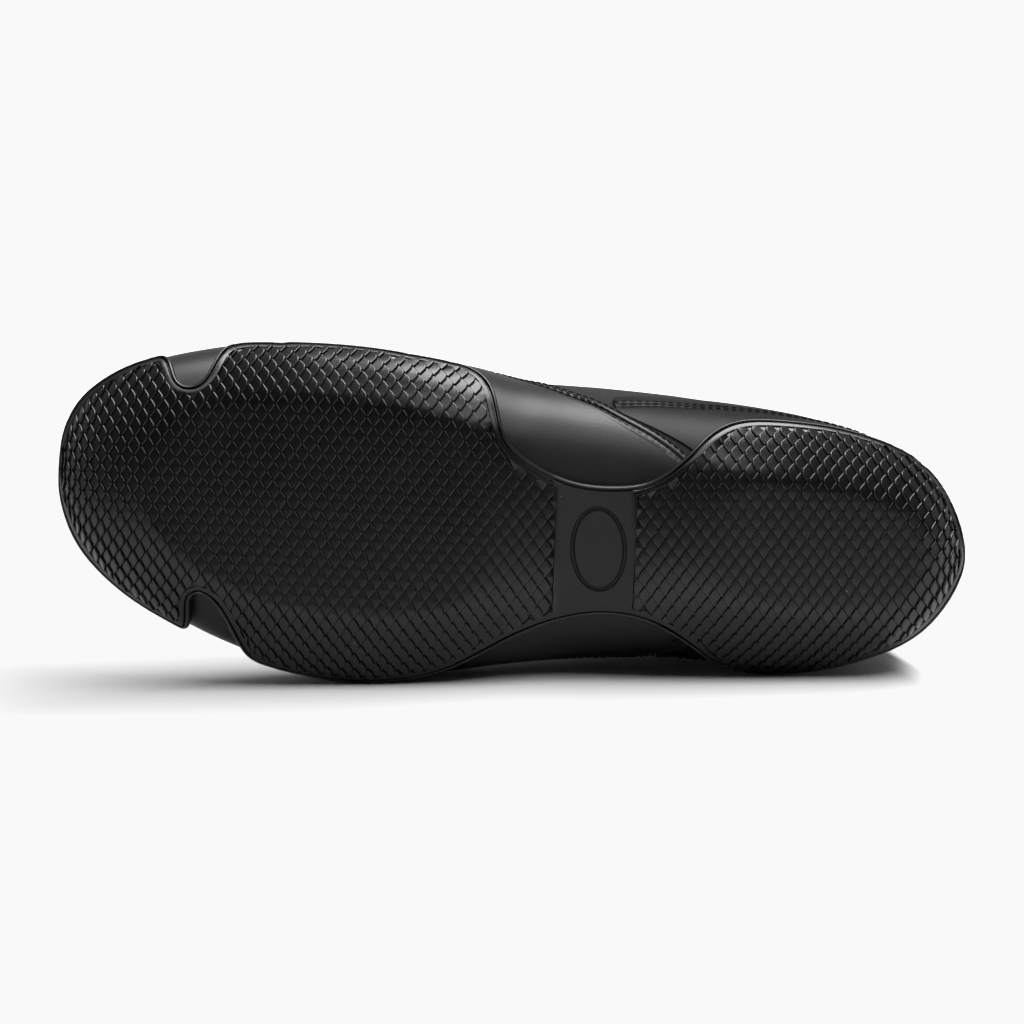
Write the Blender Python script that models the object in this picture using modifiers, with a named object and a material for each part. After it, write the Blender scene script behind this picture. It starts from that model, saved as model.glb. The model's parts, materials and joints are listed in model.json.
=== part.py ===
"""Right boxing shoe lying on its outer side.

Shoe frame, in millimetres: x runs from the back of the heel to the toe, y to the inner
(big toe) side and z up from the ground under the sole. One form, the outside of the
lasted boot, gives every other piece. At the end an empty lays the shoe on its outer side.
"""
import math
from collections import namedtuple

import bmesh
import bpy
import numpy as np
from mathutils import Matrix, Vector
from mathutils.bvhtree import BVHTree
from mathutils.geometry import barycentric_transform

MM = 0.001

# Smallest lengths: how near points of a mesh are welded, in metres, how near a cut snaps to a
# point, in millimetres, and the step along and round the form that gives its slope
WELD = 0.00002
CUT_SNAP = 0.01
NUDGE = 0.01

# Heights over the ground and thicknesses of the layers; round the arch the flat under the foot
# runs into the sides in a soft curve
BOARD_Z = 5.8
ARCH_RISE = 2.0
ARCH_MIDDLE_X = 113.0
ARCH_HALF_LENGTH = 32.0
ARCH_SOFTNESS = 7.0
ARCH_SOFT_REACH = 48.0
UPPER_WALL = 2.2
PANEL_GAP = 0.3
PANEL_WALL = 0.9
SOLE_LIFT = 1.8
SOLE_LIFT_ROUND = 0.9
RIM_THICKNESS = 1.9
BOTTOM_THICKNESS = 3.1
TREAD_RAISE = 0.9
TONGUE_GAP = 1.0
TONGUE_WALL = 3.0
INSOLE_GAP = 1.7
INSOLE_WALL = 4.0

# Sections of the lasted boot from the toe tip to the collar. Each lies in a plane across the
# shoe, from a low end (sole, then back of the heel) to a top end (vamp, then front of the shaft).
# inner, outer: sideways reach; ridge: sideways place of both ends; widest: share of the height
# at the widest point; low_full, top_full: roundness below and above it;
# open_in, open_out: edges of the opening underneath.
Section = namedtuple(
    "Section", "low_x low_z top_x top_z inner outer ridge widest low_full top_full open_in open_out")
SECTIONS = (
    Section(283.1, 20.5, 283.1, 20.5, 5.5, 5.5, 5.5, 0.45, 2.2, 2.1, 5.5, 5.5),
    Section(281.2, 15.2, 281.2, 27.0, 18.5, -6.5, 5.5, 0.45, 2.2, 2.1, 5.5, 5.5),
    Section(275.5, 10.8, 275.5, 34.5, 28.0, -18.8, 5.2, 0.44, 2.3, 2.1, 5.2, 5.2),
    Section(265.0, 7.4, 265.0, 42.0, 35.6, -28.8, 4.8, 0.42, 2.5, 2.1, 14.0, -5.0),
    Section(248.0, 4.8, 248.0, 48.5, 41.8, -38.6, 4.2, 0.41, 2.6, 2.1, 25.0, -19.0),
    Section(228.0, 3.4, 228.0, 54.0, 45.9, -46.7, 3.6, 0.40, 2.7, 2.1, 31.0, -31.0),
    Section(205.0, 3.0, 205.0, 60.5, 47.3, -52.6, 3.2, 0.38, 2.8, 2.1, 34.0, -37.0),
    Section(182.0, 3.0, 182.0, 69.0, 47.0, -53.6, 3.0, 0.35, 2.8, 2.1, 33.0, -37.0),
    Section(160.0, 3.2, 160.0, 80.0, 44.6, -50.2, 2.8, 0.34, 2.8, 2.1, 26.0, -32.0),
    Section(140.0, 3.6, 141.0, 91.5, 41.8, -46.6, 2.4, 0.36, 2.6, 2.1, 8.0, -25.0),
    Section(118.0, 4.0, 127.0, 102.5, 41.8, -44.0, 1.6, 0.38, 2.45, 2.1, 4.0, -19.0),
    Section(85.0, 3.8, 118.5, 112.5, 41.4, -41.2, 0.6, 0.34, 2.45, 2.1, 12.0, -22.0),
    Section(50.0, 3.4, 115.0, 119.0, 39.6, -39.6, -0.4, 0.28, 2.5, 2.1, 22.0, -24.0),
    Section(20.0, 4.0, 113.5, 123.5, 36.2, -36.6, -0.8, 0.28, 2.4, 2.1, 11.0, -12.6),
    Section(5.0, 12.5, 112.5, 127.0, 33.0, -34.8, -0.8, 0.34, 2.05, 2.1, -0.8, -0.8),
    Section(2.0, 30.0, 112.0, 130.5, 31.6, -34.0, -0.6, 0.40, 2.0, 2.1, -0.6, -0.6),
    Section(5.4, 55.0, 111.5, 134.5, 30.6, -33.6, -0.4, 0.44, 2.0, 2.1, -0.4, -0.4),
    Section(10.5, 82.0, 111.5, 139.0, 30.8, -34.2, -0.2, 0.47, 2.1, 2.2, -0.2, -0.2),
    Section(11.0, 108.0, 112.0, 143.5, 32.0, -35.8, 0.0, 0.48, 2.2, 2.2, 0.0, 0.0),
    Section(9.0, 133.0, 113.0, 149.0, 33.6, -37.4, 0.0, 0.50, 2.2, 2.2, 0.0, 0.0),
)
COLLAR = len(SECTIONS) - 1
TIP_STATION = 0.01
TOE_DIRECTION = np.array([1.0, 0.0, 0.0])

# Where the grid of the upper has its sections, and how many steps each side has round the form
STATIONS = (
    0.0, 0.4, 0.9, 1.5, 2.0, 2.35, 2.6, 3.0, 3.6, 4.3, 5.1, 6.0, 7.0, 7.15, 7.4, 8.0, 8.7, 9.4,
    10.1, 10.8, 11.5, 12.2, 12.8, 13.3, 13.6, 13.9, 14.4, 15.0, 15.7, 16.5, 17.4, 18.2, 19.0)
SIDE_STEPS = 11
UNDER_FRONT = 2.35
UNDER_BACK = 13.9
THROAT_FRONT = 7.0
THROAT_HALF = 9.0
THROAT_SPREAD = 5.0
THROAT_ROUNDING = 0.6

# Rim of the sole: sideways reach of its inner and outer edge at each place along the shoe
Rim = namedtuple("Rim", "along inner outer")
HEEL_END = (0.4, -0.6)
TOE_END = (285.6, 5.9)
RIM = (
    Rim(2.0, 8.0, -8.3),
    Rim(6.0, 16.7, -16.7),
    Rim(12.3, 25.2, -24.6),
    Rim(22.3, 31.8, -31.3),
    Rim(40.0, 36.6, -38.9),
    Rim(60.0, 38.0, -42.4),
    Rim(74.0, 36.9, -40.6),
    Rim(82.0, 33.1, -35.6),
    Rim(90.0, 24.3, -30.9),
    Rim(100.0, 16.0, -27.6),
    Rim(112.0, 13.4, -27.3),
    Rim(124.6, 14.1, -30.3),
    Rim(137.5, 19.3, -36.3),
    Rim(145.3, 25.8, -41.3),
    Rim(148.3, 34.1, -43.2),
    Rim(151.5, 41.6, -45.3),
    Rim(157.7, 45.7, -48.9),
    Rim(170.0, 47.8, -53.4),
    Rim(190.0, 49.5, -56.0),
    Rim(210.0, 49.4, -54.0),
    Rim(230.0, 47.7, -48.9),
    Rim(245.0, 44.7, -42.7),
    Rim(258.0, 40.8, -36.6),
    Rim(268.0, 36.2, -29.9),
    Rim(276.2, 30.2, -22.2),
    Rim(281.3, 24.2, -14.3),
    Rim(284.5, 16.1, -4.8),
)
RIM_STEP = 6.0
RIM_BEND = 9.0
CORNER_ROUND = 2.1
CORNER_STEP = 0.5
CORNER_REACH = 4
CURVE_STEPS = 40

# Notch on each side behind the toe: middle of its mouth, how far and which way it goes in,
# and its half width towards toe and heel
Notch = namedtuple("Notch", "x y depth lean toe_half heel_half")
NOTCHES = (
    Notch(244.6, 44.8, 11.4, 0.0, 6.4, 6.4),
    Notch(232.6, -48.0, 17.4, 0.24, 5.6, 8.8),
)
NOTCH_SQUARENESS = 4.0
NOTCH_REACH = 16.0

# Steps of the rim, in from its edge: distance and raise of each line
RimLine = namedtuple("RimLine", "inset raised")
RIM_LINES = (
    RimLine(0.0, 0.0),
    RimLine(0.45, 0.35),
    RimLine(1.0, 0.25),
    RimLine(1.35, -0.35),
    RimLine(1.7, 0.0),
    RimLine(2.9, 0.0),
    RimLine(3.25, TREAD_RAISE),
)
TREAD_CELL = 13.0
INSIDE_CELL = 6.8
INSIDE_LINE = 1.6
FIELD_HALF = 55.0
SOLE_TOE_STATIONS = np.linspace(0.0, 3.0, 40)
SOLE_BODY_STATIONS = np.linspace(3.1, 16.0, 110)
SOLE_ANGLES = np.radians(np.linspace(-100.0, 100.0, 121))
UNDER_GROUND = -50.0
WAIST_PANEL = (102.6, 127.6)
WAIST_STEP = 0.5

# Seams of the leather panels in the side view: height on the inner and outer side at each
# place along the shoe, from the heel forwards
Seam = namedtuple("Seam", "x inner outer")
FRONT_PANEL_EDGE = (
    Seam(70.0, 2.0, 0.0),
    Seam(80.0, 5.5, 8.5),
    Seam(90.0, 9.6, 21.5),
    Seam(100.0, 13.6, 31.0),
    Seam(110.0, 17.6, 35.0),
    Seam(120.0, 22.3, 37.0),
    Seam(128.0, 25.0, 38.0),
    Seam(135.0, 28.3, 39.0),
    Seam(150.0, 38.0, 42.0),
    Seam(168.0, 46.5, 47.0),
    Seam(180.0, 57.0, 57.0),
    Seam(187.0, 80.0, 80.0),
)
SEAM_GAP_LOW = 4.0
SEAM_GAP_TOP = 1.0
SEAM_GAP_SPAN = (88.0, 121.0)
HEEL_PANEL_TOP = (
    Seam(-10.0, 41.0, 41.0),
    Seam(20.0, 39.0, 39.5),
    Seam(45.0, 34.5, 36.0),
    Seam(67.0, 30.5, 34.0),
    Seam(88.0, 30.3, 33.5),
    Seam(100.0, 30.5, 33.5),
    Seam(110.0, 28.2, 33.0),
    Seam(120.0, 25.6, 32.0),
    Seam(300.0, 16.0, 24.0),
)

# Lace
EYELET_FIRST = 7.6
EYELET_LAST = 18.6
EYELET_PAIRS = 8
EYELET_INSET = 7.0
LACE_RADIUS = 1.7
LACE_GAP = 0.5
LACE_ROUNDNESS = 1
LACE_STEPS = 3
TOP_LINE_STEPS = 200

# Tongue
TONGUE_FRONT = 6.6
TONGUE_OVER_COLLAR = 16.0
TONGUE_SIDE = 7.0
TONGUE_STEPS = 6

# Insole
INSOLE_FRONT = 2.5
INSOLE_BACK = 13.75
INSOLE_SHARE = 0.78
INSOLE_STEPS = 8


def smooth(keys, values, at):
    """Cubic curve without overshoot through a column of a table."""
    keys = np.asarray(keys, float)
    values = np.asarray(values, float)
    slope = np.diff(values) / np.diff(keys)
    tangent = np.zeros(len(values))
    before = slope[:-1]
    after = slope[1:]
    rising = before * after > 0
    total = np.where(rising, before + after, 1.0)
    tangent[1:-1] = np.where(rising, 2 * before * after / total, 0.0)
    tangent[0] = 2 * slope[0] - tangent[1]
    tangent[-1] = 2 * slope[-1] - tangent[-2]
    at = np.clip(np.asarray(at, float), keys[0], keys[-1])
    cell = np.clip(np.searchsorted(keys, at, side="right") - 1, 0, len(slope) - 1)
    width = keys[cell + 1] - keys[cell]
    t = (at - keys[cell]) / width
    start = (1 + 2 * t) * (1 - t) ** 2 * values[cell] + t * (1 - t) ** 2 * width * tangent[cell]
    end = t * t * (3 - 2 * t) * values[cell + 1] + t * t * (t - 1) * width * tangent[cell + 1]
    return start + end


def section_at(station):
    """Sizes of the form at a place between the listed sections."""
    keys = range(len(SECTIONS))
    columns = []
    for column in zip(*SECTIONS):
        columns.append(smooth(keys, column, station))
    return Section(*columns)


def board_height(x):
    """Height of the flat under the last, raised a little at the arch."""
    reach = np.clip(np.abs(x - ARCH_MIDDLE_X) / ARCH_HALF_LENGTH, 0.0, 1.0)
    return BOARD_Z + ARCH_RISE * np.cos(reach * math.pi / 2) ** 2


def form(station, angle):
    """Points of the form; angle 0 is the low end, +90 the inner side, 180 the top end."""
    s = section_at(station)
    low = np.cos(angle) > 0
    full = np.where(low, s.low_full, s.top_full)
    along = np.abs(np.cos(angle)) ** (2 / full)
    aside = np.abs(np.sin(angle)) ** (2 / full)
    share = np.where(low, s.widest * (1 - along), s.widest + (1 - s.widest) * along)
    inside = np.sin(angle) > 0
    half = np.where(inside, s.inner - s.ridge, s.outer - s.ridge)
    x = s.low_x + share * (s.top_x - s.low_x)
    y = s.ridge + half * aside
    z = s.low_z + share * (s.top_z - s.low_z)
    board = board_height(x)
    reach = np.clip(np.abs(x - ARCH_MIDDLE_X) / ARCH_SOFT_REACH, 0.0, 1.0)
    blend = ARCH_SOFTNESS * (1 - reach**2) ** 2
    z = (z + board + np.sqrt((z - board) ** 2 + blend**2)) / 2
    return np.stack([x, y, z], axis=-1)


def skin(station, angle, lift=0.0):
    """Points of the form moved out along its normal."""
    station, angle = np.broadcast_arrays(np.asarray(station, float), np.asarray(angle, float))
    near = np.clip(station, 2 * NUDGE, COLLAR - 2 * NUDGE)
    along = form(near + NUDGE, angle) - form(near - NUDGE, angle)
    round_ = form(near, angle + NUDGE) - form(near, angle - NUDGE)
    normal = np.cross(along, round_)
    normal /= np.linalg.norm(normal, axis=-1, keepdims=True)
    normal = np.where((station < TIP_STATION)[..., None], TOE_DIRECTION, normal)
    return form(station, angle) + normal * np.asarray(lift, float)[..., None], normal


def angle_at(station, y, top):
    """Angle on the lower or upper part of a section where the form has the sideways place y."""
    s = section_at(station)
    half = np.where(y > s.ridge, s.inner - s.ridge, s.ridge - s.outer)
    full = s.top_full if top else s.low_full
    share = np.clip(np.abs(y - s.ridge) / np.maximum(half, WELD), 0.0, 1.0)
    turn = np.arcsin(share ** (full / 2))
    turn = math.pi - turn if top else turn
    return np.where(y > s.ridge, turn, -turn)


def throat_half(station):
    """Half width of the throat opening, round at its front end."""
    run = np.clip((station - THROAT_FRONT) / (COLLAR - THROAT_FRONT), 0.0, 1.0)
    front = np.clip((station - THROAT_FRONT) / THROAT_ROUNDING, 0.0, 1.0)
    return (THROAT_HALF + THROAT_SPREAD * run) * np.sqrt(1 - (1 - front) ** 2)


def throat_stations(first, last, count):
    """Places evenly spaced along the top line of the boot."""
    fine = np.linspace(first, last, TOP_LINE_STEPS)
    line = form(fine, math.pi)
    run = np.concatenate([[0.0], np.cumsum(np.linalg.norm(np.diff(line, axis=0), axis=1))])
    return np.interp(np.linspace(0.0, run[-1], count), run, fine)


def side_angles(station, side, steps):
    """Angles from the edge underneath to the edge of the throat on one side of the shoe."""
    s = section_at(station)
    under = s.open_in if side > 0 else s.open_out
    open_under = UNDER_FRONT < station < UNDER_BACK
    low = float(angle_at(station, under, False)) if open_under else 0.0
    high = float(angle_at(station, s.ridge + side * throat_half(station), True))
    if station <= THROAT_FRONT:
        high = side * math.pi
    return np.linspace(low, high, steps + 1)


def new_object(name, points, faces, material):
    """Object with a mesh given in millimetres."""
    mesh = bpy.data.meshes.new(name)
    mesh.from_pydata([Vector(p) * MM for p in points], [], faces)
    mesh.materials.append(material)
    item = bpy.data.objects.new(name, mesh)
    parts.objects.link(item)
    return item


def finish_mesh(item, thickness=0.0, outward=False):
    """Weld the seam lines, face outwards and give a sheet its wall."""
    work = bmesh.new()
    work.from_mesh(item.data)
    bmesh.ops.remove_doubles(work, verts=work.verts, dist=WELD)
    bmesh.ops.dissolve_degenerate(work, edges=work.edges, dist=WELD / 2)
    work.to_mesh(item.data)
    work.free()
    if thickness:
        wall = item.modifiers.new("wall", "SOLIDIFY")
        wall.thickness = thickness * MM
        wall.offset = 1.0 if outward else -1.0
        wall.use_even_offset = True
    return item


def grid_faces(rows, columns):
    """Quads of a grid of points, row by row."""
    faces = []
    for r in range(rows - 1):
        for c in range(columns - 1):
            first = r * columns + c
            faces.append((first, first + columns, first + columns + 1, first + 1))
    return faces


def boot_sheet(name, lift, material):
    """Open sheet over the whole boot at a distance from the form."""
    points = []
    faces = []
    for side in (1, -1):
        start = len(points)
        for station in STATIONS:
            angles = side_angles(station, side, SIDE_STEPS)
            row, _ = skin(station, angles, lift)
            points.extend(row.tolist())
        for a, b, c, d in grid_faces(len(STATIONS), SIDE_STEPS + 1):
            for corners in ((a, b, c), (a, c, d)):
                turned = corners if side > 0 else corners[::-1]
                faces.append(tuple(start + index for index in turned))
    sheet = new_object(name, points, faces, material)
    inner_side = sheet.data.attributes.new("inner_side", "BOOLEAN", "FACE")
    for number, mark in enumerate(inner_side.data):
        mark.value = number < len(faces) // 2
    return sheet


def trim(item, seam, keep_below):
    """Cut a sheet along a seam in the side view and drop one side of it."""
    work = bmesh.new()
    work.from_mesh(item.data)
    inner_side = work.faces.layers.bool["inner_side"]
    places = [row.x for row in seam]
    for is_inner in (True, False):
        heights = [row.inner if is_inner else row.outer for row in seam]
        line = list(zip(places, heights))
        for (x, z), (next_x, next_z) in zip(line, line[1:]):
            crossed = set()
            for face in work.faces:
                reach = [vert.co.x / MM for vert in face.verts]
                if face[inner_side] == is_inner and max(reach) > x and min(reach) < next_x:
                    crossed.update((face, *face.edges, *face.verts))
            facing = Vector((z - next_z, 0.0, next_x - x)).normalized()
            start = Vector((x, 0.0, z)) * MM
            bmesh.ops.bisect_plane(
                work, geom=list(crossed), dist=WELD, plane_co=start, plane_no=facing)
        dropped = []
        for face in work.faces:
            middle = face.calc_center_median() / MM
            below = middle.z < np.interp(middle.x, places, heights) or middle.x > places[-1]
            if face[inner_side] == is_inner and below != keep_below:
                dropped.append(face)
        bmesh.ops.delete(work, geom=dropped, context="FACES")
    work.to_mesh(item.data)
    work.free()


def heel_panel_front():
    """Front edge of the heel panel, behind the edge of the front panel by the seam's gap."""
    rows = []
    for row in FRONT_PANEL_EDGE:
        gap = np.interp(row.x, SEAM_GAP_SPAN, (SEAM_GAP_LOW, SEAM_GAP_TOP))
        rows.append(Seam(row.x - gap, row.inner, row.outer))
    return rows


def make_upper():
    """Hollow boot, open at the collar, along the throat and underneath."""
    return finish_mesh(boot_sheet("upper", 0.0, black_cloth), UPPER_WALL)


def make_front_panel():
    """Leather over the toe and along both sides, back to the slanted seam."""
    panel = finish_mesh(boot_sheet("front_panel", PANEL_GAP, black_leather))
    trim(panel, FRONT_PANEL_EDGE, keep_below=True)
    return finish_mesh(panel, PANEL_WALL, outward=True)


def make_heel_panel():
    """Rear quarter round the heel, below its top seam and behind the slanted one."""
    panel = finish_mesh(boot_sheet("heel_panel", PANEL_GAP, black_leather))
    trim(panel, HEEL_PANEL_TOP, keep_below=True)
    trim(panel, heel_panel_front(), keep_below=False)
    return finish_mesh(panel, PANEL_WALL, outward=True)


def rim_outline():
    """Closed outline of the sole in the ground plane, with its notches, closer spaced in bends."""
    inner = [(row.along, row.inner) for row in RIM]
    outer = [(row.along, row.outer) for row in RIM]
    knots = np.array([HEEL_END] + inner + [TOE_END] + outer[::-1])
    fine = []
    for index in range(len(knots)):
        before, start, end, after = (knots[(index + shift) % len(knots)] for shift in (-1, 0, 1, 2))
        size = np.linalg.norm(end - start)
        lead = (end - before) / (np.linalg.norm(start - before) + size) * size
        lag = (after - start) / (np.linalg.norm(after - end) + size) * size
        for t in np.linspace(0.0, 1.0, CURVE_STEPS, endpoint=False):
            weights = (1 - 3 * t**2 + 2 * t**3, t - 2 * t**2 + t**3, 3 * t**2 - 2 * t**3, t**3 - t**2)
            fine.append(weights[0] * start + weights[1] * lead + weights[2] * end + weights[3] * lag)
    fine = np.array(fine)
    for notch in NOTCHES:
        side = math.copysign(1.0, notch.y)
        offset = fine[:, 0] - notch.x
        near = (np.abs(offset) < NOTCH_REACH) & (fine[:, 1] * side > 0)
        half = np.where(offset > 0, notch.toe_half, notch.heel_half)
        depth = notch.depth * np.exp(-(np.abs(offset) / half) ** NOTCH_SQUARENESS)
        inward = np.array([math.sin(notch.lean), -side * math.cos(notch.lean)])
        fine = np.where(near[:, None], fine + depth[:, None] * inward, fine)
    fine = spaced(fine, CORNER_STEP, 0.0)
    count = int(CORNER_REACH * CORNER_ROUND / CORNER_STEP)
    reach = np.arange(-count, count + 1)
    weights = np.exp(-0.5 * (reach * CORNER_STEP / CORNER_ROUND) ** 2)
    rounded = np.zeros_like(fine)
    for weight, shift in zip(weights / weights.sum(), reach):
        rounded += weight * np.roll(fine, -shift, axis=0)
    return spaced(rounded, RIM_STEP, RIM_BEND)


def spaced(outline, step, bend_weight):
    """Closed outline with new points at even steps, closer together where it bends."""
    loop = np.vstack([outline, outline[:1]])
    legs = np.diff(loop, axis=0)
    heading = np.unwrap(np.arctan2(legs[:, 1], legs[:, 0]))
    bend = np.abs(np.diff(heading, prepend=heading[0]))
    run = np.concatenate([[0.0], np.cumsum(np.linalg.norm(legs, axis=1) + bend_weight * bend)])
    at = np.linspace(0.0, run[-1], int(run[-1] / step), endpoint=False)
    return np.stack([np.interp(at, run, loop[:, 0]), np.interp(at, run, loop[:, 1])], axis=1)


class SoleForm:
    """Outside of the sole, found straight above a place on the ground."""

    def __init__(self):
        stations = np.concatenate([SOLE_TOE_STATIONS, SOLE_BODY_STATIONS])
        _, normal = skin(stations[:, None], SOLE_ANGLES[None, :])
        thickness = self.thickness(normal[..., 2])
        clear = SOLE_LIFT + SOLE_LIFT_ROUND * (1 - np.clip(-normal[..., 2], 0.0, 1.0))
        points, normal = skin(stations[:, None], SOLE_ANGLES[None, :], clear + thickness)
        self.points = [Vector(p) for p in points.reshape(-1, 3).tolist()]
        self.normals = [Vector(n) for n in normal.reshape(-1, 3).tolist()]
        self.faces = []
        for a, b, c, d in grid_faces(len(stations), len(SOLE_ANGLES)):
            self.faces.append((a, b, c))
            self.faces.append((a, c, d))
        self.tree = BVHTree.FromPolygons(self.points, self.faces)

    @staticmethod
    def thickness(facing):
        """Wall of the sole, full under the foot and thinner up at the rim."""
        down = np.clip(-facing, 0.0, 1.0)
        return RIM_THICKNESS + (BOTTOM_THICKNESS - RIM_THICKNESS) * down**2

    def above(self, x, y):
        """Point and normal of the sole's outside above a ground point."""
        hit, _, index, _ = self.tree.ray_cast(Vector((x, y, UNDER_GROUND)), Vector((0.0, 0.0, 1.0)))
        if hit is None:
            raise ValueError(f"sole edge outside the form at {x:.1f}, {y:.1f}")
        corners = [self.points[i] for i in self.faces[index]]
        facing = [self.normals[i] for i in self.faces[index]]
        return hit, barycentric_transform(hit, *corners, *facing).normalized()


def sole_sheet(outline, insets, cell):
    """Flat sheet of the sole: bands along its rim, and a field of cells inside them."""
    sheet = bmesh.new()
    ring = [sheet.verts.new((x, y, 0.0)) for x, y in outline]
    field = sheet.faces.new(ring)
    line = sheet.verts.layers.int.new("line")
    for number, width in enumerate(np.diff(insets), start=1):
        known = set(sheet.verts)
        bmesh.ops.inset_region(
            sheet, faces=[field], thickness=float(width), use_boundary=True, use_even_offset=True)
        for vert in set(sheet.verts) - known:
            vert[line] = number
    field.material_index = 1
    cuts = []
    for x in np.arange(cell, TOE_END[0], cell):
        cuts.append(((x, 0.0, 0.0), (1.0, 0.0, 0.0)))
    for x in WAIST_PANEL:
        for shift in (0.0, WAIST_STEP):
            cuts.append(((x + shift, 0.0, 0.0), (1.0, 0.0, 0.0)))
    for y in np.arange(-FIELD_HALF, FIELD_HALF, cell):
        cuts.append(((0.0, y, 0.0), (0.0, 1.0, 0.0)))
    for where, facing in cuts:
        cells = [face for face in sheet.faces if face.material_index == 1]
        around = set()
        for face in cells:
            around.update(face.verts)
            around.update(face.edges)
        bmesh.ops.bisect_plane(
            sheet, geom=cells + list(around), dist=CUT_SNAP, plane_co=where, plane_no=facing)
    inner_lines = len(insets) - 1
    for face in sheet.faces:
        if face.material_index == 1:
            for vert in face.verts:
                vert[line] = inner_lines
    return sheet, line


def tread_share(x):
    """1 on the tread fields, 0 on the smooth waist panel."""
    start, end = WAIST_PANEL
    return 0.0 if start + CUT_SNAP < x < end + WAIST_STEP - CUT_SNAP else 1.0


def shape_outside(sheet, line, target):
    """Lift the flat sheet to the outside of the sole, with the steps of its rim and its tread."""
    for vert in sheet.verts:
        point, normal = target.above(vert.co.x, vert.co.y)
        raised = RIM_LINES[vert[line]].raised
        if vert[line] == len(RIM_LINES) - 1:
            raised *= tread_share(vert.co.x)
        vert.co = point + normal * raised


def shape_inside(sheet, target):
    """Lift the flat sheet to the inside of the sole, facing the boot."""
    for vert in sheet.verts:
        point, normal = target.above(vert.co.x, vert.co.y)
        vert.co = point - normal * float(target.thickness(normal.z))
    for face in sheet.faces:
        face.normal_flip()


def close_shell(outside, inside, rim_count):
    """Add the inside to the outside and join them along the rim."""
    inside.verts.index_update()
    copies = [outside.verts.new(vert.co) for vert in inside.verts]
    for face in inside.faces:
        outside.faces.new([copies[vert.index] for vert in face.verts])
    outside.verts.ensure_lookup_table()
    for index in range(rim_count):
        after = (index + 1) % rim_count
        outside.faces.new((outside.verts[index], outside.verts[after], copies[after], copies[index]))


def make_outsole():
    """Cupped rubber shell under the boot."""
    target = SoleForm()
    outline = rim_outline()
    insets = [row.inset for row in RIM_LINES]
    outside, line = sole_sheet(outline, insets, TREAD_CELL)
    inside, _ = sole_sheet(outline, [insets[0], INSIDE_LINE, insets[-1]], INSIDE_CELL)
    shape_outside(outside, line, target)
    shape_inside(inside, target)
    close_shell(outside, inside, len(outline))
    inside.free()
    bmesh.ops.triangulate(outside, faces=outside.faces)
    bmesh.ops.recalc_face_normals(outside, faces=outside.faces)
    for face in outside.faces:
        face.material_index = 0
    bmesh.ops.scale(outside, vec=(MM, MM, MM), verts=outside.verts)
    item = new_object("outsole", [], [], black_rubber)
    outside.to_mesh(item.data)
    outside.free()
    return item


def make_tongue():
    """Padded strip under the throat, standing out over the collar."""
    stations = [TONGUE_FRONT] + [v for v in STATIONS if v > TONGUE_FRONT]
    points = []
    for station in stations:
        s = section_at(station)
        half = throat_half(COLLAR if station > COLLAR - 1 else station) + TONGUE_SIDE
        inner_edge = float(angle_at(station, s.ridge + half, True)) % (2 * math.pi)
        outer_edge = float(angle_at(station, s.ridge - half, True)) % (2 * math.pi)
        angles = np.linspace(inner_edge, outer_edge, TONGUE_STEPS + 1)
        row, _ = skin(station, angles, -UPPER_WALL - TONGUE_GAP)
        points.append(row)
    last = points[-1]
    rise = last - points[-2]
    rise = rise / np.linalg.norm(rise, axis=1, keepdims=True)
    points.append(last + rise * TONGUE_OVER_COLLAR)
    flat = np.concatenate(points).tolist()
    tongue = new_object("tongue", flat, grid_faces(len(points), TONGUE_STEPS + 1), black_cloth)
    return finish_mesh(tongue, TONGUE_WALL)


def make_insole():
    """Flat pad on the lasted edge inside the boot."""
    stations = [v for v in STATIONS if INSOLE_FRONT < v < INSOLE_BACK]
    stations = [INSOLE_FRONT] + stations + [INSOLE_BACK]
    points = []
    for station in stations:
        s = section_at(station)
        high = float(angle_at(station, s.ridge + (s.inner - s.ridge) * INSOLE_SHARE, False))
        low = float(angle_at(station, s.ridge + (s.outer - s.ridge) * INSOLE_SHARE, False))
        angles = np.linspace(low, high, INSOLE_STEPS + 1)
        row, _ = skin(station, angles, -UPPER_WALL - INSOLE_GAP)
        points.extend(row.tolist())
    insole = new_object("insole", points, grid_faces(len(stations), INSOLE_STEPS + 1), grey_foam)
    return finish_mesh(insole, INSOLE_WALL)


def lace_run(start_side):
    """Middle line of one end of the lace, from side to side up the throat."""
    stations = throat_stations(EYELET_FIRST, EYELET_LAST, EYELET_PAIRS)
    stops = []
    for number, station in enumerate(stations):
        side = start_side if number % 2 == 0 else -start_side
        s = section_at(station)
        y = s.ridge + side * (float(throat_half(station)) + EYELET_INSET)
        stops.append((station, float(angle_at(station, y, True)) % (2 * math.pi)))
    line = []
    for (station, angle), (next_station, next_angle) in zip(stops, stops[1:]):
        share = np.linspace(0.0, 1.0, LACE_STEPS, endpoint=False)
        leg = [station + share * (next_station - station), angle + share * (next_angle - angle)]
        line.append(np.stack(leg, axis=1))
    line.append(np.array([stops[-1]]))
    line = np.concatenate(line)
    lift = PANEL_GAP + PANEL_WALL + LACE_GAP + LACE_RADIUS
    points, _ = skin(line[:, 0], line[:, 1], lift)
    return points


def cord(name, points):
    """Round cord along a line, closed at both ends."""
    curve = bpy.data.curves.new(name, "CURVE")
    curve.dimensions = "3D"
    spline = curve.splines.new("POLY")
    spline.points.add(len(points) - 1)
    for knot, place in zip(spline.points, points):
        knot.co = (*(Vector(place) * MM), 1.0)
    curve.bevel_depth = LACE_RADIUS * MM
    curve.bevel_resolution = LACE_ROUNDNESS
    curve.use_fill_caps = True
    helper = bpy.data.objects.new(name, curve)
    cutters.objects.link(helper)
    return helper


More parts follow.
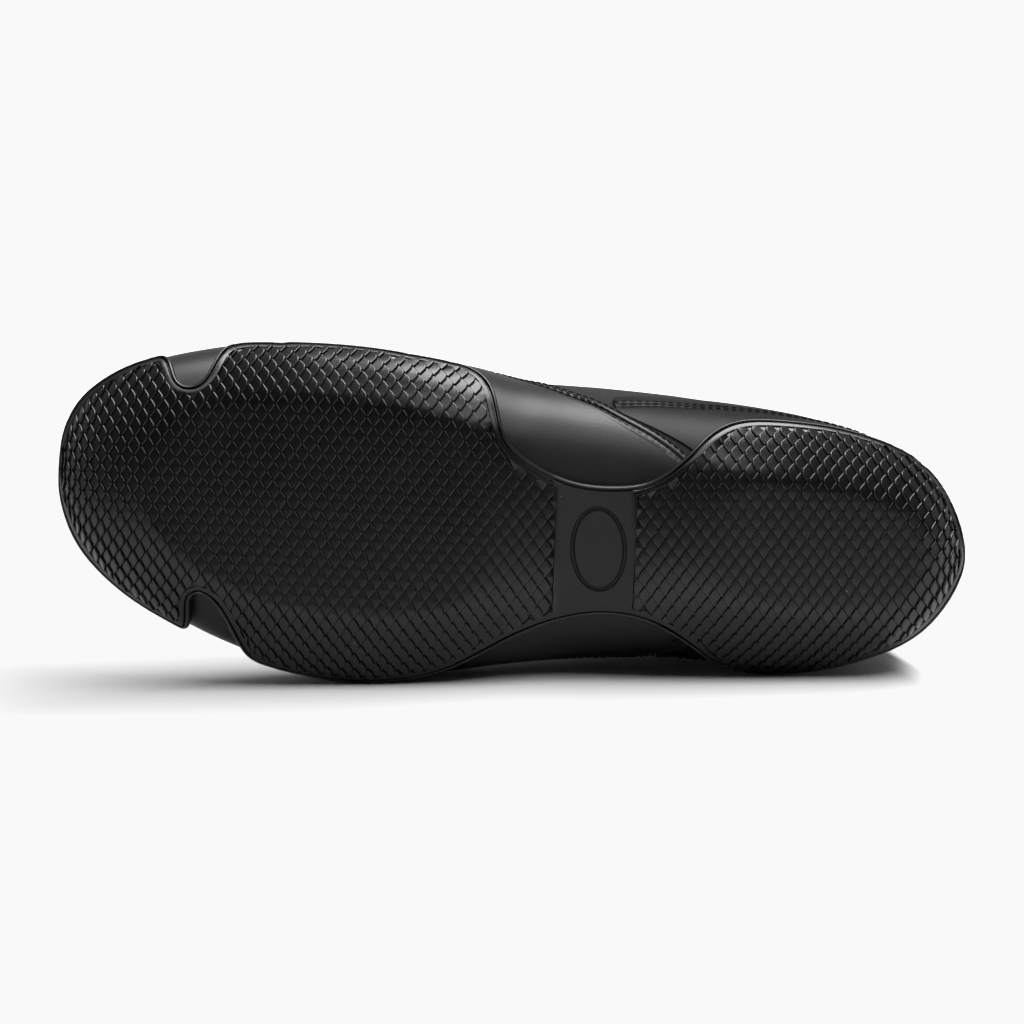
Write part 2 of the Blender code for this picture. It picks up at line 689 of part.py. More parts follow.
def make_lace():
    """Both ends of the lace, crossing over the throat and joined where they cross."""
    runs = []
    for name, side in (("lace", 1), ("lace_other_end", -1)):
        helper = cord(name + "_line", lace_run(side))
        bpy.context.view_layer.update()
        mesh = bpy.data.meshes.new_from_object(helper)
        bpy.data.objects.remove(helper)
        mesh.name = name
        mesh.materials.clear()
        mesh.materials.append(black_cord)
        work = bmesh.new()
        work.from_mesh(mesh)
        bmesh.ops.remove_doubles(work, verts=work.verts, dist=WELD)
        bmesh.ops.recalc_face_normals(work, faces=work.faces)
        work.to_mesh(mesh)
        work.free()
        runs.append(bpy.data.objects.new(name, mesh))
    parts.objects.link(runs[0])
    cutters.objects.link(runs[1])
    runs[1].hide_render = True
    runs[1].display_type = "WIRE"
    union = runs[0].modifiers.new("crossings", "BOOLEAN")
    union.operation = "UNION"
    union.solver = "EXACT"
    union.object = runs[1]
    return runs


def new_material(name, colour, roughness):
    """Plain surface of one colour."""
    material = bpy.data.materials.new(name)
    material.use_nodes = True
    shader = material.node_tree.nodes["Principled BSDF"]
    shader.inputs["Base Color"].default_value = (*colour, 1.0)
    shader.inputs["Roughness"].default_value = roughness
    shader.inputs["Metallic"].default_value = 0.0
    return material


def lay_on_side(items, holder):
    """Turn the shoe onto its outer side, on the face of its hull under the middle of the shoe."""
    turn = Matrix(((-1.0, 0.0, 0.0), (0.0, 0.0, 1.0), (0.0, 1.0, 0.0)))
    corners = []
    for item in items:
        shape = item.evaluated_get(bpy.context.evaluated_depsgraph_get())
        corners.extend(turn @ vert.co for vert in shape.data.vertices)
    hull = bmesh.new()
    for corner in corners:
        hull.verts.new(corner)
    bmesh.ops.convex_hull(hull, input=hull.verts)
    middle = sum(corners, Vector()) / len(corners)
    tree = BVHTree.FromBMesh(hull)
    _, down, _, _ = tree.ray_cast(middle, Vector((0.0, 0.0, -1.0)))
    hull.free()
    settle = down.rotation_difference(Vector((0.0, 0.0, -1.0))).to_matrix()
    laid = [settle @ corner for corner in corners]
    low = Vector(min(c[axis] for c in laid) for axis in range(3))
    high = Vector(max(c[axis] for c in laid) for axis in range(3))
    shift = Vector((-(low.x + high.x) / 2, -(low.y + high.y) / 2, -low.z))
    holder.matrix_world = Matrix.Translation(shift) @ (settle @ turn).to_4x4()
    for item in items:
        item.parent = holder


for leftover in list(bpy.data.objects):
    bpy.data.objects.remove(leftover)
parts = bpy.data.collections.new("boxing_shoe")
cutters = bpy.data.collections.new("cutters")
bpy.context.scene.collection.children.link(parts)
bpy.context.scene.collection.children.link(cutters)

black_rubber = new_material("black_rubber", (0.018, 0.018, 0.019), 0.45)
black_leather = new_material("black_leather", (0.012, 0.012, 0.013), 0.38)
black_cloth = new_material("black_cloth", (0.014, 0.014, 0.015), 0.8)
grey_foam = new_material("grey_foam", (0.05, 0.05, 0.052), 0.9)
black_cord = new_material("black_cord", (0.016, 0.016, 0.017), 0.75)

lace, other_end = make_lace()
pieces = [lace, make_outsole(), make_upper(), make_front_panel(), make_heel_panel()]
pieces += [make_tongue(), make_insole()]
bpy.context.view_layer.update()
shoe = bpy.data.objects.new("boxing_shoe_frame", None)
parts.objects.link(shoe)
lay_on_side(pieces, shoe)
other_end.parent = shoe
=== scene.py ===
"""Right boxing shoe lying on its outer side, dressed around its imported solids.

Shoe frame, in millimetres: x runs from the back of the heel to the toe, y to the inner (big toe)
side and z up from the ground under the sole. The sole is modelled on its unrolled plane, where
lengths along the rubber are true, and is then laid on the form. Upper, panels, tongue and insole
are grids that are drawn over the lasted form, and stitches, eyelets and lace are set on it.
"""

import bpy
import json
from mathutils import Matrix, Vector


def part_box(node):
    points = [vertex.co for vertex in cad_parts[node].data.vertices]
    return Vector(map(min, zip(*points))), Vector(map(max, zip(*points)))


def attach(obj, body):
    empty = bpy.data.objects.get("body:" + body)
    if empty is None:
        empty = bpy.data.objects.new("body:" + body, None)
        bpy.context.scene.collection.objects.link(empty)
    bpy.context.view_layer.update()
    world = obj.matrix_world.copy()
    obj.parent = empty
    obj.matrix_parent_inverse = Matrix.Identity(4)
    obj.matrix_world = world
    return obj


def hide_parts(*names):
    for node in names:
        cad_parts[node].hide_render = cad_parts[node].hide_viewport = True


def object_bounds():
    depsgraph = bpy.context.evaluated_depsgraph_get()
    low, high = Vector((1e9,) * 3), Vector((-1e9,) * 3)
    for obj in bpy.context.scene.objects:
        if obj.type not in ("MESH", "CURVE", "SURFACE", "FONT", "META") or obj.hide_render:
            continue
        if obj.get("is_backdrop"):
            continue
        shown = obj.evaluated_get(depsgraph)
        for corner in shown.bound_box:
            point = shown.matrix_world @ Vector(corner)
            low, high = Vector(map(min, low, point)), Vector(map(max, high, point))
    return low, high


bl_info = {
    "name": "Boxing Shoe",
    "version": (1, 0, 0),
    "blender": (4, 5, 0),
    "location": "View3D > Sidebar > Shoe",
    "description": "Models the outsole, upper, panels, tongue, insole, lace and stage of a boxing shoe",
    "category": "Object",
}

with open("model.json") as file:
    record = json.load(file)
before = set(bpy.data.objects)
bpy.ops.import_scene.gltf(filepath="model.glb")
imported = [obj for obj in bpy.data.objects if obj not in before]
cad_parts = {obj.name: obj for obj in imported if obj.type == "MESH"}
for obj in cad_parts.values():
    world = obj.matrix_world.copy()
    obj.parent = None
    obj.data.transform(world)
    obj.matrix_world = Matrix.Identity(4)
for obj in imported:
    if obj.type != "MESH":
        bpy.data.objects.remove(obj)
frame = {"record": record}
cad_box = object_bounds()

import json
import math
from collections import namedtuple
from contextlib import contextmanager

import bmesh
import bpy
import numpy as np
from bpy.props import FloatProperty, FloatVectorProperty, PointerProperty
from mathutils import Matrix, Vector
from mathutils.bvhtree import BVHTree
from mathutils.geometry import barycentric_transform
from mathutils.kdtree import KDTree

MM = 0.001
BODY = "root"

# Tolerances for welding and for faces of no size, and a small step
WELD = 0.00002
SLIVER = 0.0001
NUDGE = 0.01

# Place of the record's flat face under the heel in the shoe frame
HEEL_FLAT_X = 55.0

# Heights over the ground and thicknesses of the layers
BOARD_Z = 5.8
ARCH_RISE = 2.0
ARCH_MIDDLE_X = 113.0
ARCH_HALF_LENGTH = 32.0
ARCH_SOFTNESS = 7.0
ARCH_SOFT_REACH = 48.0
PANEL_GAP = 0.3
SOLE_LIFT = 1.8
SOLE_LIFT_ROUND = 0.9
RIM_THICKNESS = 1.9
BOTTOM_THICKNESS = 3.1
TONGUE_GAP = 1.0
INSOLE_GAP = 1.7

# Sections of the lasted boot from the toe tip to the collar, each from a low end to a top end
Section = namedtuple(
    "Section", "low_x low_z top_x top_z inner outer ridge widest low_full top_full open_in open_out")
SECTIONS = (
    Section(283.1, 20.5, 283.1, 20.5, 5.5, 5.5, 5.5, 0.45, 2.2, 2.1, 5.5, 5.5),
    Section(281.2, 15.2, 281.2, 27.0, 18.5, -6.5, 5.5, 0.45, 2.2, 2.1, 5.5, 5.5),
    Section(275.5, 10.8, 275.5, 34.5, 28.0, -18.8, 5.2, 0.44, 2.3, 2.1, 5.2, 5.2),
    Section(265.0, 7.4, 265.0, 42.0, 35.6, -28.8, 4.8, 0.42, 2.5, 2.1, 14.0, -5.0),
    Section(248.0, 4.8, 248.0, 48.5, 41.8, -38.6, 4.2, 0.41, 2.6, 2.1, 25.0, -19.0),
    Section(228.0, 3.4, 228.0, 54.0, 45.9, -46.7, 3.6, 0.40, 2.7, 2.1, 31.0, -31.0),
    Section(205.0, 3.0, 205.0, 60.5, 47.3, -52.6, 3.2, 0.38, 2.8, 2.1, 34.0, -37.0),
    Section(182.0, 3.0, 182.0, 69.0, 47.0, -53.6, 3.0, 0.35, 2.8, 2.1, 33.0, -37.0),
    Section(160.0, 3.2, 160.0, 80.0, 44.6, -50.2, 2.8, 0.34, 2.8, 2.1, 26.0, -32.0),
    Section(140.0, 3.6, 141.0, 91.5, 41.8, -46.6, 2.4, 0.36, 2.6, 2.1, 8.0, -25.0),
    Section(118.0, 4.0, 127.0, 102.5, 41.8, -44.0, 1.6, 0.38, 2.45, 2.1, 4.0, -19.0),
    Section(85.0, 3.8, 118.5, 112.5, 41.4, -41.2, 0.6, 0.34, 2.45, 2.1, 12.0, -22.0),
    Section(50.0, 3.4, 115.0, 119.0, 39.6, -39.6, -0.4, 0.28, 2.5, 2.1, 22.0, -24.0),
    Section(20.0, 4.0, 113.5, 123.5, 36.2, -36.6, -0.8, 0.28, 2.4, 2.1, 11.0, -12.6),
    Section(5.0, 12.5, 112.5, 127.0, 33.0, -34.8, -0.8, 0.34, 2.05, 2.1, -0.8, -0.8),
    Section(2.0, 30.0, 112.0, 130.5, 31.6, -34.0, -0.6, 0.40, 2.0, 2.1, -0.6, -0.6),
    Section(5.4, 55.0, 111.5, 134.5, 30.6, -33.6, -0.4, 0.44, 2.0, 2.1, -0.4, -0.4),
    Section(10.5, 82.0, 111.5, 139.0, 30.8, -34.2, -0.2, 0.47, 2.1, 2.2, -0.2, -0.2),
    Section(11.0, 108.0, 112.0, 143.5, 32.0, -35.8, 0.0, 0.48, 2.2, 2.2, 0.0, 0.0),
    Section(9.0, 133.0, 113.0, 149.0, 33.6, -37.4, 0.0, 0.50, 2.2, 2.2, 0.0, 0.0),
)
COLLAR = len(SECTIONS) - 1
TIP_STATION = 0.01
TOE_DIRECTION = np.array([1.0, 0.0, 0.0])
UNDER_FRONT = 2.35
UNDER_BACK = 13.9
THROAT_FRONT = 7.0
THROAT_HALF = 9.0
THROAT_SPREAD = 5.0
THROAT_ROUNDING = 0.6

# Rim of the sole: sideways reach of its inner and outer edge at each place along the shoe
Rim = namedtuple("Rim", "along inner outer")
HEEL_END = (0.4, -0.6)
TOE_END = (285.6, 5.9)
RIM = (
    Rim(2.0, 8.0, -8.3),
    Rim(6.0, 16.7, -16.7),
    Rim(12.3, 25.2, -24.6),
    Rim(22.3, 31.8, -31.3),
    Rim(40.0, 36.6, -38.9),
    Rim(60.0, 38.0, -42.4),
    Rim(74.0, 36.9, -40.6),
    Rim(82.0, 33.1, -35.6),
    Rim(90.0, 24.3, -30.9),
    Rim(100.0, 16.0, -27.6),
    Rim(112.0, 13.4, -27.3),
    Rim(124.6, 14.1, -30.3),
    Rim(137.5, 19.3, -36.3),
    Rim(145.3, 25.8, -41.3),
    Rim(148.3, 34.1, -43.2),
    Rim(151.5, 41.6, -45.3),
    Rim(157.7, 45.7, -48.9),
    Rim(170.0, 47.8, -53.4),
    Rim(190.0, 49.5, -56.0),
    Rim(210.0, 49.4, -54.0),
    Rim(230.0, 47.7, -48.9),
    Rim(245.0, 44.7, -42.7),
    Rim(258.0, 40.8, -36.6),
    Rim(268.0, 36.2, -29.9),
    Rim(276.2, 30.2, -22.2),
    Rim(281.3, 24.2, -14.3),
    Rim(284.5, 16.1, -4.8),
)
CURVE_STEPS = 40
CORNER_ROUND = 2.1
CORNER_STEP = 0.5
CORNER_REACH = 4
RIM_STEP = 1.0

# Notch on each side behind the toe: middle of its mouth, how far and which way it goes in,
# and its half width towards toe and heel
Notch = namedtuple("Notch", "x y depth lean toe_half heel_half")
NOTCHES = (
    Notch(244.6, 44.8, 11.4, 0.0, 6.4, 6.4),
    Notch(232.6, -48.0, 17.4, 0.24, 5.6, 8.8),
)
NOTCH_SQUARENESS = 4.0
NOTCH_REACH = 16.0

# Profile across the rim, in from its edge: rounded lip, groove, flat band, then the tread field
RimLine = namedtuple("RimLine", "inset raised")
RIM_LINES = (
    RimLine(0.00, -0.50),
    RimLine(0.08, -0.10),
    RimLine(0.26, 0.24),
    RimLine(0.50, 0.48),
    RimLine(0.78, 0.58),
    RimLine(1.04, 0.50),
    RimLine(1.20, 0.15),
    RimLine(1.28, -0.45),
    RimLine(1.62, -0.50),
    RimLine(1.72, 0.12),
    RimLine(1.86, 0.42),
    RimLine(2.08, 0.52),
    RimLine(3.20, 0.52),
    RimLine(3.40, 0.42),
    RimLine(3.50, 0.00),
)
INSIDE_LINES = (0.3, 1.6)
INSIDE_MARK = -9.0
INSET_SOFTNESS = 0.6
BASE_CELL = 6.0
FIELD_HALF = 70.0
WAIST_PANEL = (102.6, 127.6)
WAIST_STEP = 0.3
WAIST_SLANT = 0.045
WAIST_SLANT_Y = -8.0
WAIST_RAISE = 0.52
WAIST_DULL = (0.0112, 0.0128)
OVAL_MIDDLE = (114.0, -6.4)
OVAL_HALF = (8.2, 12.6)
OVAL_TILT = math.radians(7.0)
OVAL_GROOVE = 0.85
OVAL_SINK = 0.35
LUG_ROOT = 0.4
SOLE_CREASE = 60.0
PIECE_CREASE = 35.0

# Tread fields: whether before the waist, and turn of the lattice from the middle line
Field = namedtuple("Field", "front turn")
FIELDS = (
    Field(True, math.radians(-2.6)),
    Field(False, math.radians(-4.8)),
)
FIELD_SPARE = 8
LUG_SLIVER = 1.3
SHEET_STEP = 1.5
SHEET_LENGTH = (-3.0, 291.0)
STEEPEST = 2.5
SOLE_TOE_STATIONS = np.linspace(0.0, 3.0, 50)
SOLE_BODY_STATIONS = np.linspace(3.1, 16.0, 140)
SOLE_ANGLES = np.radians(np.linspace(-100.0, 100.0, 161))
UNDER_GROUND = -50.0

# Seams of the leather panels in the side view: height on the inner and outer side at each place
Seam = namedtuple("Seam", "x inner outer")
FRONT_PANEL_EDGE = (
    Seam(70.0, 2.0, 0.0),
    Seam(80.0, 5.5, 8.5),
    Seam(90.0, 9.6, 21.5),
    Seam(100.0, 13.6, 31.0),
    Seam(110.0, 17.6, 35.0),
    Seam(120.0, 22.3, 37.0),
    Seam(128.0, 25.0, 38.0),
    Seam(135.0, 28.3, 39.0),
    Seam(150.0, 38.0, 42.0),
    Seam(168.0, 46.5, 47.0),
    Seam(180.0, 57.0, 57.0),
    Seam(187.0, 80.0, 80.0),
)
SEAM_GAP_LOW = 4.0
SEAM_GAP_TOP = 1.0
SEAM_GAP_SPAN = (88.0, 121.0)
HEEL_PANEL_TOP = (
    Seam(-10.0, 41.0, 41.0),
    Seam(20.0, 39.0, 39.5),
    Seam(45.0, 34.5, 36.0),
    Seam(67.0, 30.5, 34.0),
    Seam(88.0, 30.3, 33.5),
    Seam(100.0, 30.5, 33.5),
    Seam(110.0, 28.2, 33.0),
    Seam(120.0, 25.6, 32.0),
    Seam(300.0, 16.0, 24.0),
)
HEEL_STITCH_LINE = (
    Seam(-10.0, 33.5, 34.5),
    Seam(20.0, 31.5, 32.5),
    Seam(45.0, 28.3, 29.8),
    Seam(62.0, 25.2, 28.0),
    Seam(85.0, 24.3, 27.5),
    Seam(100.0, 24.0, 27.5),
    Seam(112.0, 22.3, 27.0),
    Seam(120.0, 20.0, 26.0),
    Seam(300.0, 10.0, 18.0),
)
SEAM_SAMPLES = 500
SEAM_STEPS = 500
SEAM_STEP = 0.2
PANEL_SAMPLES = 160

# Relief across the seams: distance from the line and raise of the leather
MARGIN_PROFILE = ((0.0, 0.10), (0.3, 0.32), (0.9, 0.36), (1.2, 0.15), (1.5, -0.28), (1.8, -0.28), (2.6, 0.0))
ROW_PROFILE = ((0.0, -0.26), (0.35, -0.2), (0.9, 0.0))
MARGIN_STITCH = 1.65
ROW_HALF = 0.9
ROW_CLEAR = 2.0

# Sections between which the seams are sewn, and both sides of the shoe, the inner one first
FRONT_SEAM = (6.4, 11.9)
HEEL_ROWS = (9.6, 15.6)
SIDES = (1, -1)

# Soft creases of the worn upper in the side view: two ends, depth of the trough and its half width
Crease = namedtuple("Crease", "start end depth width")
CREASES = (
    Crease((214.0, 55.0), (199.0, 36.0), 0.6, 3.2),
    Crease((203.0, 58.0), (188.0, 40.0), 0.8, 3.6),
    Crease((191.0, 63.0), (178.0, 47.0), 0.5, 3.0),
    Crease((117.0, 99.0), (66.0, 88.0), 0.8, 4.0),
    Crease((119.0, 88.0), (74.0, 72.0), 1.0, 4.4),
    Crease((123.0, 78.0), (90.0, 58.0), 0.7, 3.8),
    Crease((20.0, 96.0), (52.0, 101.0), 0.5, 3.4),
)
CREASE_RIDGE = 0.45
CREASE_RIDGE_PLACE = 1.9
CREASE_ENDS = 0.02

# Eyelets, lace and the stitch rows of collar and throat
EYELET_FIRST = 7.6
EYELET_LAST = 18.6
EYELET_PAIRS = 8
EYELET_INSET = 7.0
EYELET_RING = 2.9
EYELET_BAR = 0.6
EYELET_HOLE = 2.4
EYELET_DEPTH = 3.0
TOP_LINE_STEPS = 200
LACE_GAP = 0.5
LACE_DIVE = 4.5
LACE_BEND_STEPS = 7
LACE_SPAN_STEPS = 9
EDGE_ROW = 3.0
COLLAR_ROW = 18.82
STITCH_SINK = 0.3
MARGIN_SINK = 0.2
STITCH_FLATNESS = 0.8

# Tongue and insole
TONGUE_FRONT = 6.6
TONGUE_OVER_COLLAR = 16.0
TONGUE_SIDE = 7.0
TONGUE_END = 0.93
TONGUE_NARROWS = 0.45
INSOLE_FRONT = 2.5
INSOLE_BACK = 13.75
INSOLE_SHARE = 0.78

# Rows and columns of the draped grids, and the edges that are rounded, in degrees
UPPER_GRID = (190, 44)
FRONT_GRID = (180, 64)
HEEL_GRID = (150, 84)
TONGUE_GRID = (120, 24)
INSOLE_GRID = (140, 40)
FRONT_FINE = 4.0
HEEL_FINE = 20.0
FRONT_PANEL_SPAN = (0.0, 12.2)
HEEL_PANEL_SPAN = (9.0, 15.8)
ROUNDED_EDGE = 50.0
UPPER_ROUNDED_EDGE = 55.0

# Stage: floor, in metres, place that the camera turns about, and frame of the photograph, in pixels
FLOOR_SIDES = 96
FLOOR_RADIUS = 0.8
FLOOR_BORDER = 0.2
CAMERA_Y = -0.08
CAMERA_Z = 0.05
SENSOR_WIDTH = 36.0
BACKDROP_SPAN = (-0.8, 0.6)
BACKDROP_SEEN = 2.0
IMAGE_SIZE = 1024


# Form of the lasted boot

def smooth(keys, values, at):
    """Cubic curve without overshoot through a column of a table."""
    keys = np.asarray(keys, float)
    values = np.asarray(values, float)
    slope = np.diff(values) / np.diff(keys)
    tangent = np.zeros(len(values))
    before = slope[:-1]
    after = slope[1:]
    rising = before * after > 0
    total = np.where(rising, before + after, 1.0)
    tangent[1:-1] = np.where(rising, 2 * before * after / total, 0.0)
    tangent[0] = 2 * slope[0] - tangent[1]
    tangent[-1] = 2 * slope[-1] - tangent[-2]
    at = np.clip(np.asarray(at, float), keys[0], keys[-1])
    cell = np.clip(np.searchsorted(keys, at, side="right") - 1, 0, len(slope) - 1)
    width = keys[cell + 1] - keys[cell]
    t = (at - keys[cell]) / width
    start = (1 + 2 * t) * (1 - t) ** 2 * values[cell] + t * (1 - t) ** 2 * width * tangent[cell]
    end = t * t * (3 - 2 * t) * values[cell + 1] + t * t * (t - 1) * width * tangent[cell + 1]
    return start + end


def section_at(station):
    """Sizes of the form at a place between the listed sections."""
    keys = range(len(SECTIONS))
    return Section(*[smooth(keys, column, station) for column in zip(*SECTIONS)])


def board_height(x):
    """Height of the flat under the last, raised a little at the arch."""
    reach = np.clip(np.abs(x - ARCH_MIDDLE_X) / ARCH_HALF_LENGTH, 0.0, 1.0)
    return BOARD_Z + ARCH_RISE * np.cos(reach * math.pi / 2) ** 2


def form(station, angle):
    """Points of the form; angle 0 is the low end, +90 the inner side, 180 the top end."""
    s = section_at(station)
    low = np.cos(angle) > 0
    full = np.where(low, s.low_full, s.top_full)
    along = np.abs(np.cos(angle)) ** (2 / full)
    aside = np.abs(np.sin(angle)) ** (2 / full)
    share = np.where(low, s.widest * (1 - along), s.widest + (1 - s.widest) * along)
    inside = np.sin(angle) > 0
    half = np.where(inside, s.inner - s.ridge, s.outer - s.ridge)
    x = s.low_x + share * (s.top_x - s.low_x)
    y = s.ridge + half * aside
    z = s.low_z + share * (s.top_z - s.low_z)
    board = board_height(x)
    reach = np.clip(np.abs(x - ARCH_MIDDLE_X) / ARCH_SOFT_REACH, 0.0, 1.0)
    blend = ARCH_SOFTNESS * (1 - reach**2) ** 2
    z = (z + board + np.sqrt((z - board) ** 2 + blend**2)) / 2
    return np.stack([x, y, z], axis=-1)


def creased(points):
    """Raise of the worn upper at points of the form: soft troughs with low ridges beside them."""
    raised = np.zeros(points.shape[:-1])
    flat = points[..., ::2]
    for crease in CREASES:
        start = np.array(crease.start)
        run = np.array(crease.end) - start
        share = np.clip((flat - start) @ run / (run @ run), 0.0, 1.0)
        off = np.linalg.norm(flat - start - share[..., None] * run, axis=-1) / crease.width
        ridge = CREASE_RIDGE * np.exp(-(off - CREASE_RIDGE_PLACE) ** 2)
        fade = np.sin(math.pi * np.clip(share, CREASE_ENDS, 1 - CREASE_ENDS))
        raised += crease.depth * fade * (ridge - np.exp(-off**2))
    return raised


def skin(station, angle, lift=0.0):
    """Points of the form moved out along its normal, and that normal."""
    station, angle = np.broadcast_arrays(np.asarray(station, float), np.asarray(angle, float))
    near = np.clip(station, 2 * NUDGE, COLLAR - 2 * NUDGE)
    along = form(near + NUDGE, angle) - form(near - NUDGE, angle)
    round_ = form(near, angle + NUDGE) - form(near, angle - NUDGE)
    normal = np.cross(along, round_)
    normal /= np.linalg.norm(normal, axis=-1, keepdims=True)
    normal = np.where((station < TIP_STATION)[..., None], TOE_DIRECTION, normal)
    points = form(station, angle)
    return points + normal * (creased(points) + np.asarray(lift, float))[..., None], normal


def angle_at(station, y, top):
    """Angle on the lower or upper part of a section where the form has the sideways place y."""
    s = section_at(station)
    half = np.where(y > s.ridge, s.inner - s.ridge, s.ridge - s.outer)
    full = s.top_full if top else s.low_full
    share = np.clip(np.abs(y - s.ridge) / np.maximum(half, WELD), 0.0, 1.0)
    turn = np.arcsin(share ** (full / 2))
    turn = math.pi - turn if top else turn
    return np.where(y > s.ridge, turn, -turn)


def throat_half(station):
    """Half width of the throat opening, round at its front end."""
    run = np.clip((station - THROAT_FRONT) / (COLLAR - THROAT_FRONT), 0.0, 1.0)
    front = np.clip((station - THROAT_FRONT) / THROAT_ROUNDING, 0.0, 1.0)
    return (THROAT_HALF + THROAT_SPREAD * run) * np.sqrt(1 - (1 - front) ** 2)


def throat_stations(first, last, count):
    """Places evenly spaced along the top line of the boot."""
    fine = np.linspace(first, last, TOP_LINE_STEPS)
    line = form(fine, math.pi)
    run = np.concatenate([[0.0], np.cumsum(np.linalg.norm(np.diff(line, axis=0), axis=1))])
    return np.interp(np.linspace(0.0, run[-1], count), run, fine)


def side_edges(station, side):
    """Angles of the edge underneath and of the throat's edge on one side of the shoe."""
    s = section_at(station)
    under = s.open_in if side > 0 else s.open_out
    open_under = (station > UNDER_FRONT) & (station < UNDER_BACK)
    low = np.where(open_under, angle_at(station, under, False), 0.0)
    edge = angle_at(station, s.ridge + side * throat_half(station), True)
    high = np.where(station <= THROAT_FRONT, side * math.pi, edge)
    return low, high


# Placing in the world

def shoe_frame():
    """Matrix from the shoe frame in metres to the world, from the record's two flat faces."""
    mounts = {mount["name"]: mount for mount in frame["record"]["mounts"]}
    forefoot = Vector(mounts["forefoot_flat"]["pos_m"])
    heel = Vector(mounts["heel_flat"]["pos_m"])
    along = (forefoot - heel).normalized()
    side = -Vector(mounts["heel_flat"]["axis"]).cross(along).normalized()
    up = along.cross(side)
    origin = heel - along * HEEL_FLAT_X * MM
    turn = Matrix((along, side, up)).transposed().to_4x4()
    return Matrix.Translation(origin) @ turn


SHOE = np.array(shoe_frame())


def to_world(points):
    """World places, in metres, of points given in millimetres in the shoe frame."""
    return np.asarray(points) * MM @ SHOE[:3, :3].T + SHOE[:3, 3]


def read_points(item):
    """Points of a mesh object as rows of numbers."""
    flat = np.empty(3 * len(item.data.vertices))
    item.data.vertices.foreach_get("co", flat)
    return flat.reshape(-1, 3)


def write_points(item, points):
    """Move the points of a mesh object."""
    item.data.vertices.foreach_set("co", np.asarray(points, float).ravel())
    item.data.update()


def new_piece(add, **sizes):
    """Deselect everything, add one primitive and return it."""
    bpy.ops.object.select_all(action="DESELECT")
    add(**sizes)
    return bpy.context.object


def join(items, name):
    """Join objects into the first one and name it."""
    bpy.ops.object.select_all(action="DESELECT")
    for item in items:
        item.select_set(True)
    bpy.context.view_layer.objects.active = items[0]
    if len(items) > 1:
        bpy.ops.object.join()
    items[0].name = name
    items[0].data.name = name
    return items[0]


def work_on(item):
    """Make one object the only selected one."""
    bpy.ops.object.select_all(action="DESELECT")
    item.select_set(True)
    bpy.context.view_layer.objects.active = item


@contextmanager
def editing(item):
    """Edit mode with everything on one object selected."""
    work_on(item)
    bpy.ops.object.mode_set(mode="EDIT")
    bpy.ops.mesh.select_all(action="SELECT")
    yield
    bpy.ops.object.mode_set(mode="OBJECT")


def weld(item):
    """Merge points that lie on each other."""
    with editing(item):
        bpy.ops.mesh.remove_doubles(threshold=WELD)


def drop_slivers(item):
    """Collapse edges and faces of no size."""
    with editing(item):
        bpy.ops.mesh.dissolve_degenerate(threshold=SLIVER)
        bpy.ops.mesh.delete_loose()


def apply_modifier(item, kind, **settings):
    """Add a modifier, set it and apply it."""
    work_on(item)
    modifier = item.modifiers.new(kind.lower(), kind)
    for key, value in settings.items():
        setattr(modifier, key, value)
    bpy.ops.object.modifier_apply(modifier=modifier.name)


def repeat(item, count, offset=(1.0, 0.0, 0.0)):
    """Row of copies of a piece at a fixed offset."""
    apply_modifier(
        item, "ARRAY", count=count, use_relative_offset=False, use_constant_offset=True,
        constant_offset_displace=offset)


def cut_out(item, tool):
    """Cut the shape of a tool out of a piece and throw the tool away."""
    apply_modifier(item, "BOOLEAN", operation="DIFFERENCE", solver="EXACT", object=tool)
    bpy.data.objects.remove(tool)


def round_edges(item, width, segments, sharpest=ROUNDED_EDGE):
    """Round the edges of a piece that turn by more than an angle in degrees."""
    apply_modifier(
        item, "BEVEL", width=width, segments=segments, limit_method="ANGLE",
        angle_limit=math.radians(sharpest))


def finish_piece(item, material, slot, *nodes):
    """Give a piece its material and tie it to the frame."""
    work_on(item)
    if not item.data.has_custom_normals:
        bpy.ops.object.shade_smooth_by_angle(angle=math.radians(PIECE_CREASE))
    item.data.materials.clear()
    item.data.materials.append(material)
    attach(item, BODY)
    if nodes:
        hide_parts(*nodes)


def draped_grid(columns, rows, place):
    """Grid primitive whose points move to place(share along, share across), in the shoe frame."""
    item = new_piece(
        bpy.ops.mesh.primitive_grid_add, x_subdivisions=columns, y_subdivisions=rows, size=2.0)
    flat = read_points(item)
    write_points(item, to_world(place((flat[:, 0] + 1) / 2, (flat[:, 1] + 1) / 2)))
    return item


def face_outwards(item, reverse):
    """Turn the faces of a sheet round where its grid runs the other way."""
    if reverse:
        with editing(item):
            bpy.ops.mesh.flip_normals()


# Outsole

def rounded(outline, spread, step):
    """Closed outline with its corners rounded by a bell of a given spread."""
    count = max(1, int(CORNER_REACH * spread / step))
    reach = np.arange(-count, count + 1)
    weights = np.exp(-0.5 * (reach * step / spread) ** 2)
    result = np.zeros_like(outline)
    for weight, shift in zip(weights / weights.sum(), reach):
        result += weight * np.roll(outline, -shift, axis=0)
    return result


def spaced(outline, step):
    """Closed outline with new points at even steps."""
    loop = np.vstack([outline, outline[:1]])
    run = np.concatenate([[0.0], np.cumsum(np.linalg.norm(np.diff(loop, axis=0), axis=1))])
    at = np.linspace(0.0, run[-1], int(run[-1] / step), endpoint=False)
    return np.stack([np.interp(at, run, loop[:, 0]), np.interp(at, run, loop[:, 1])], axis=1)


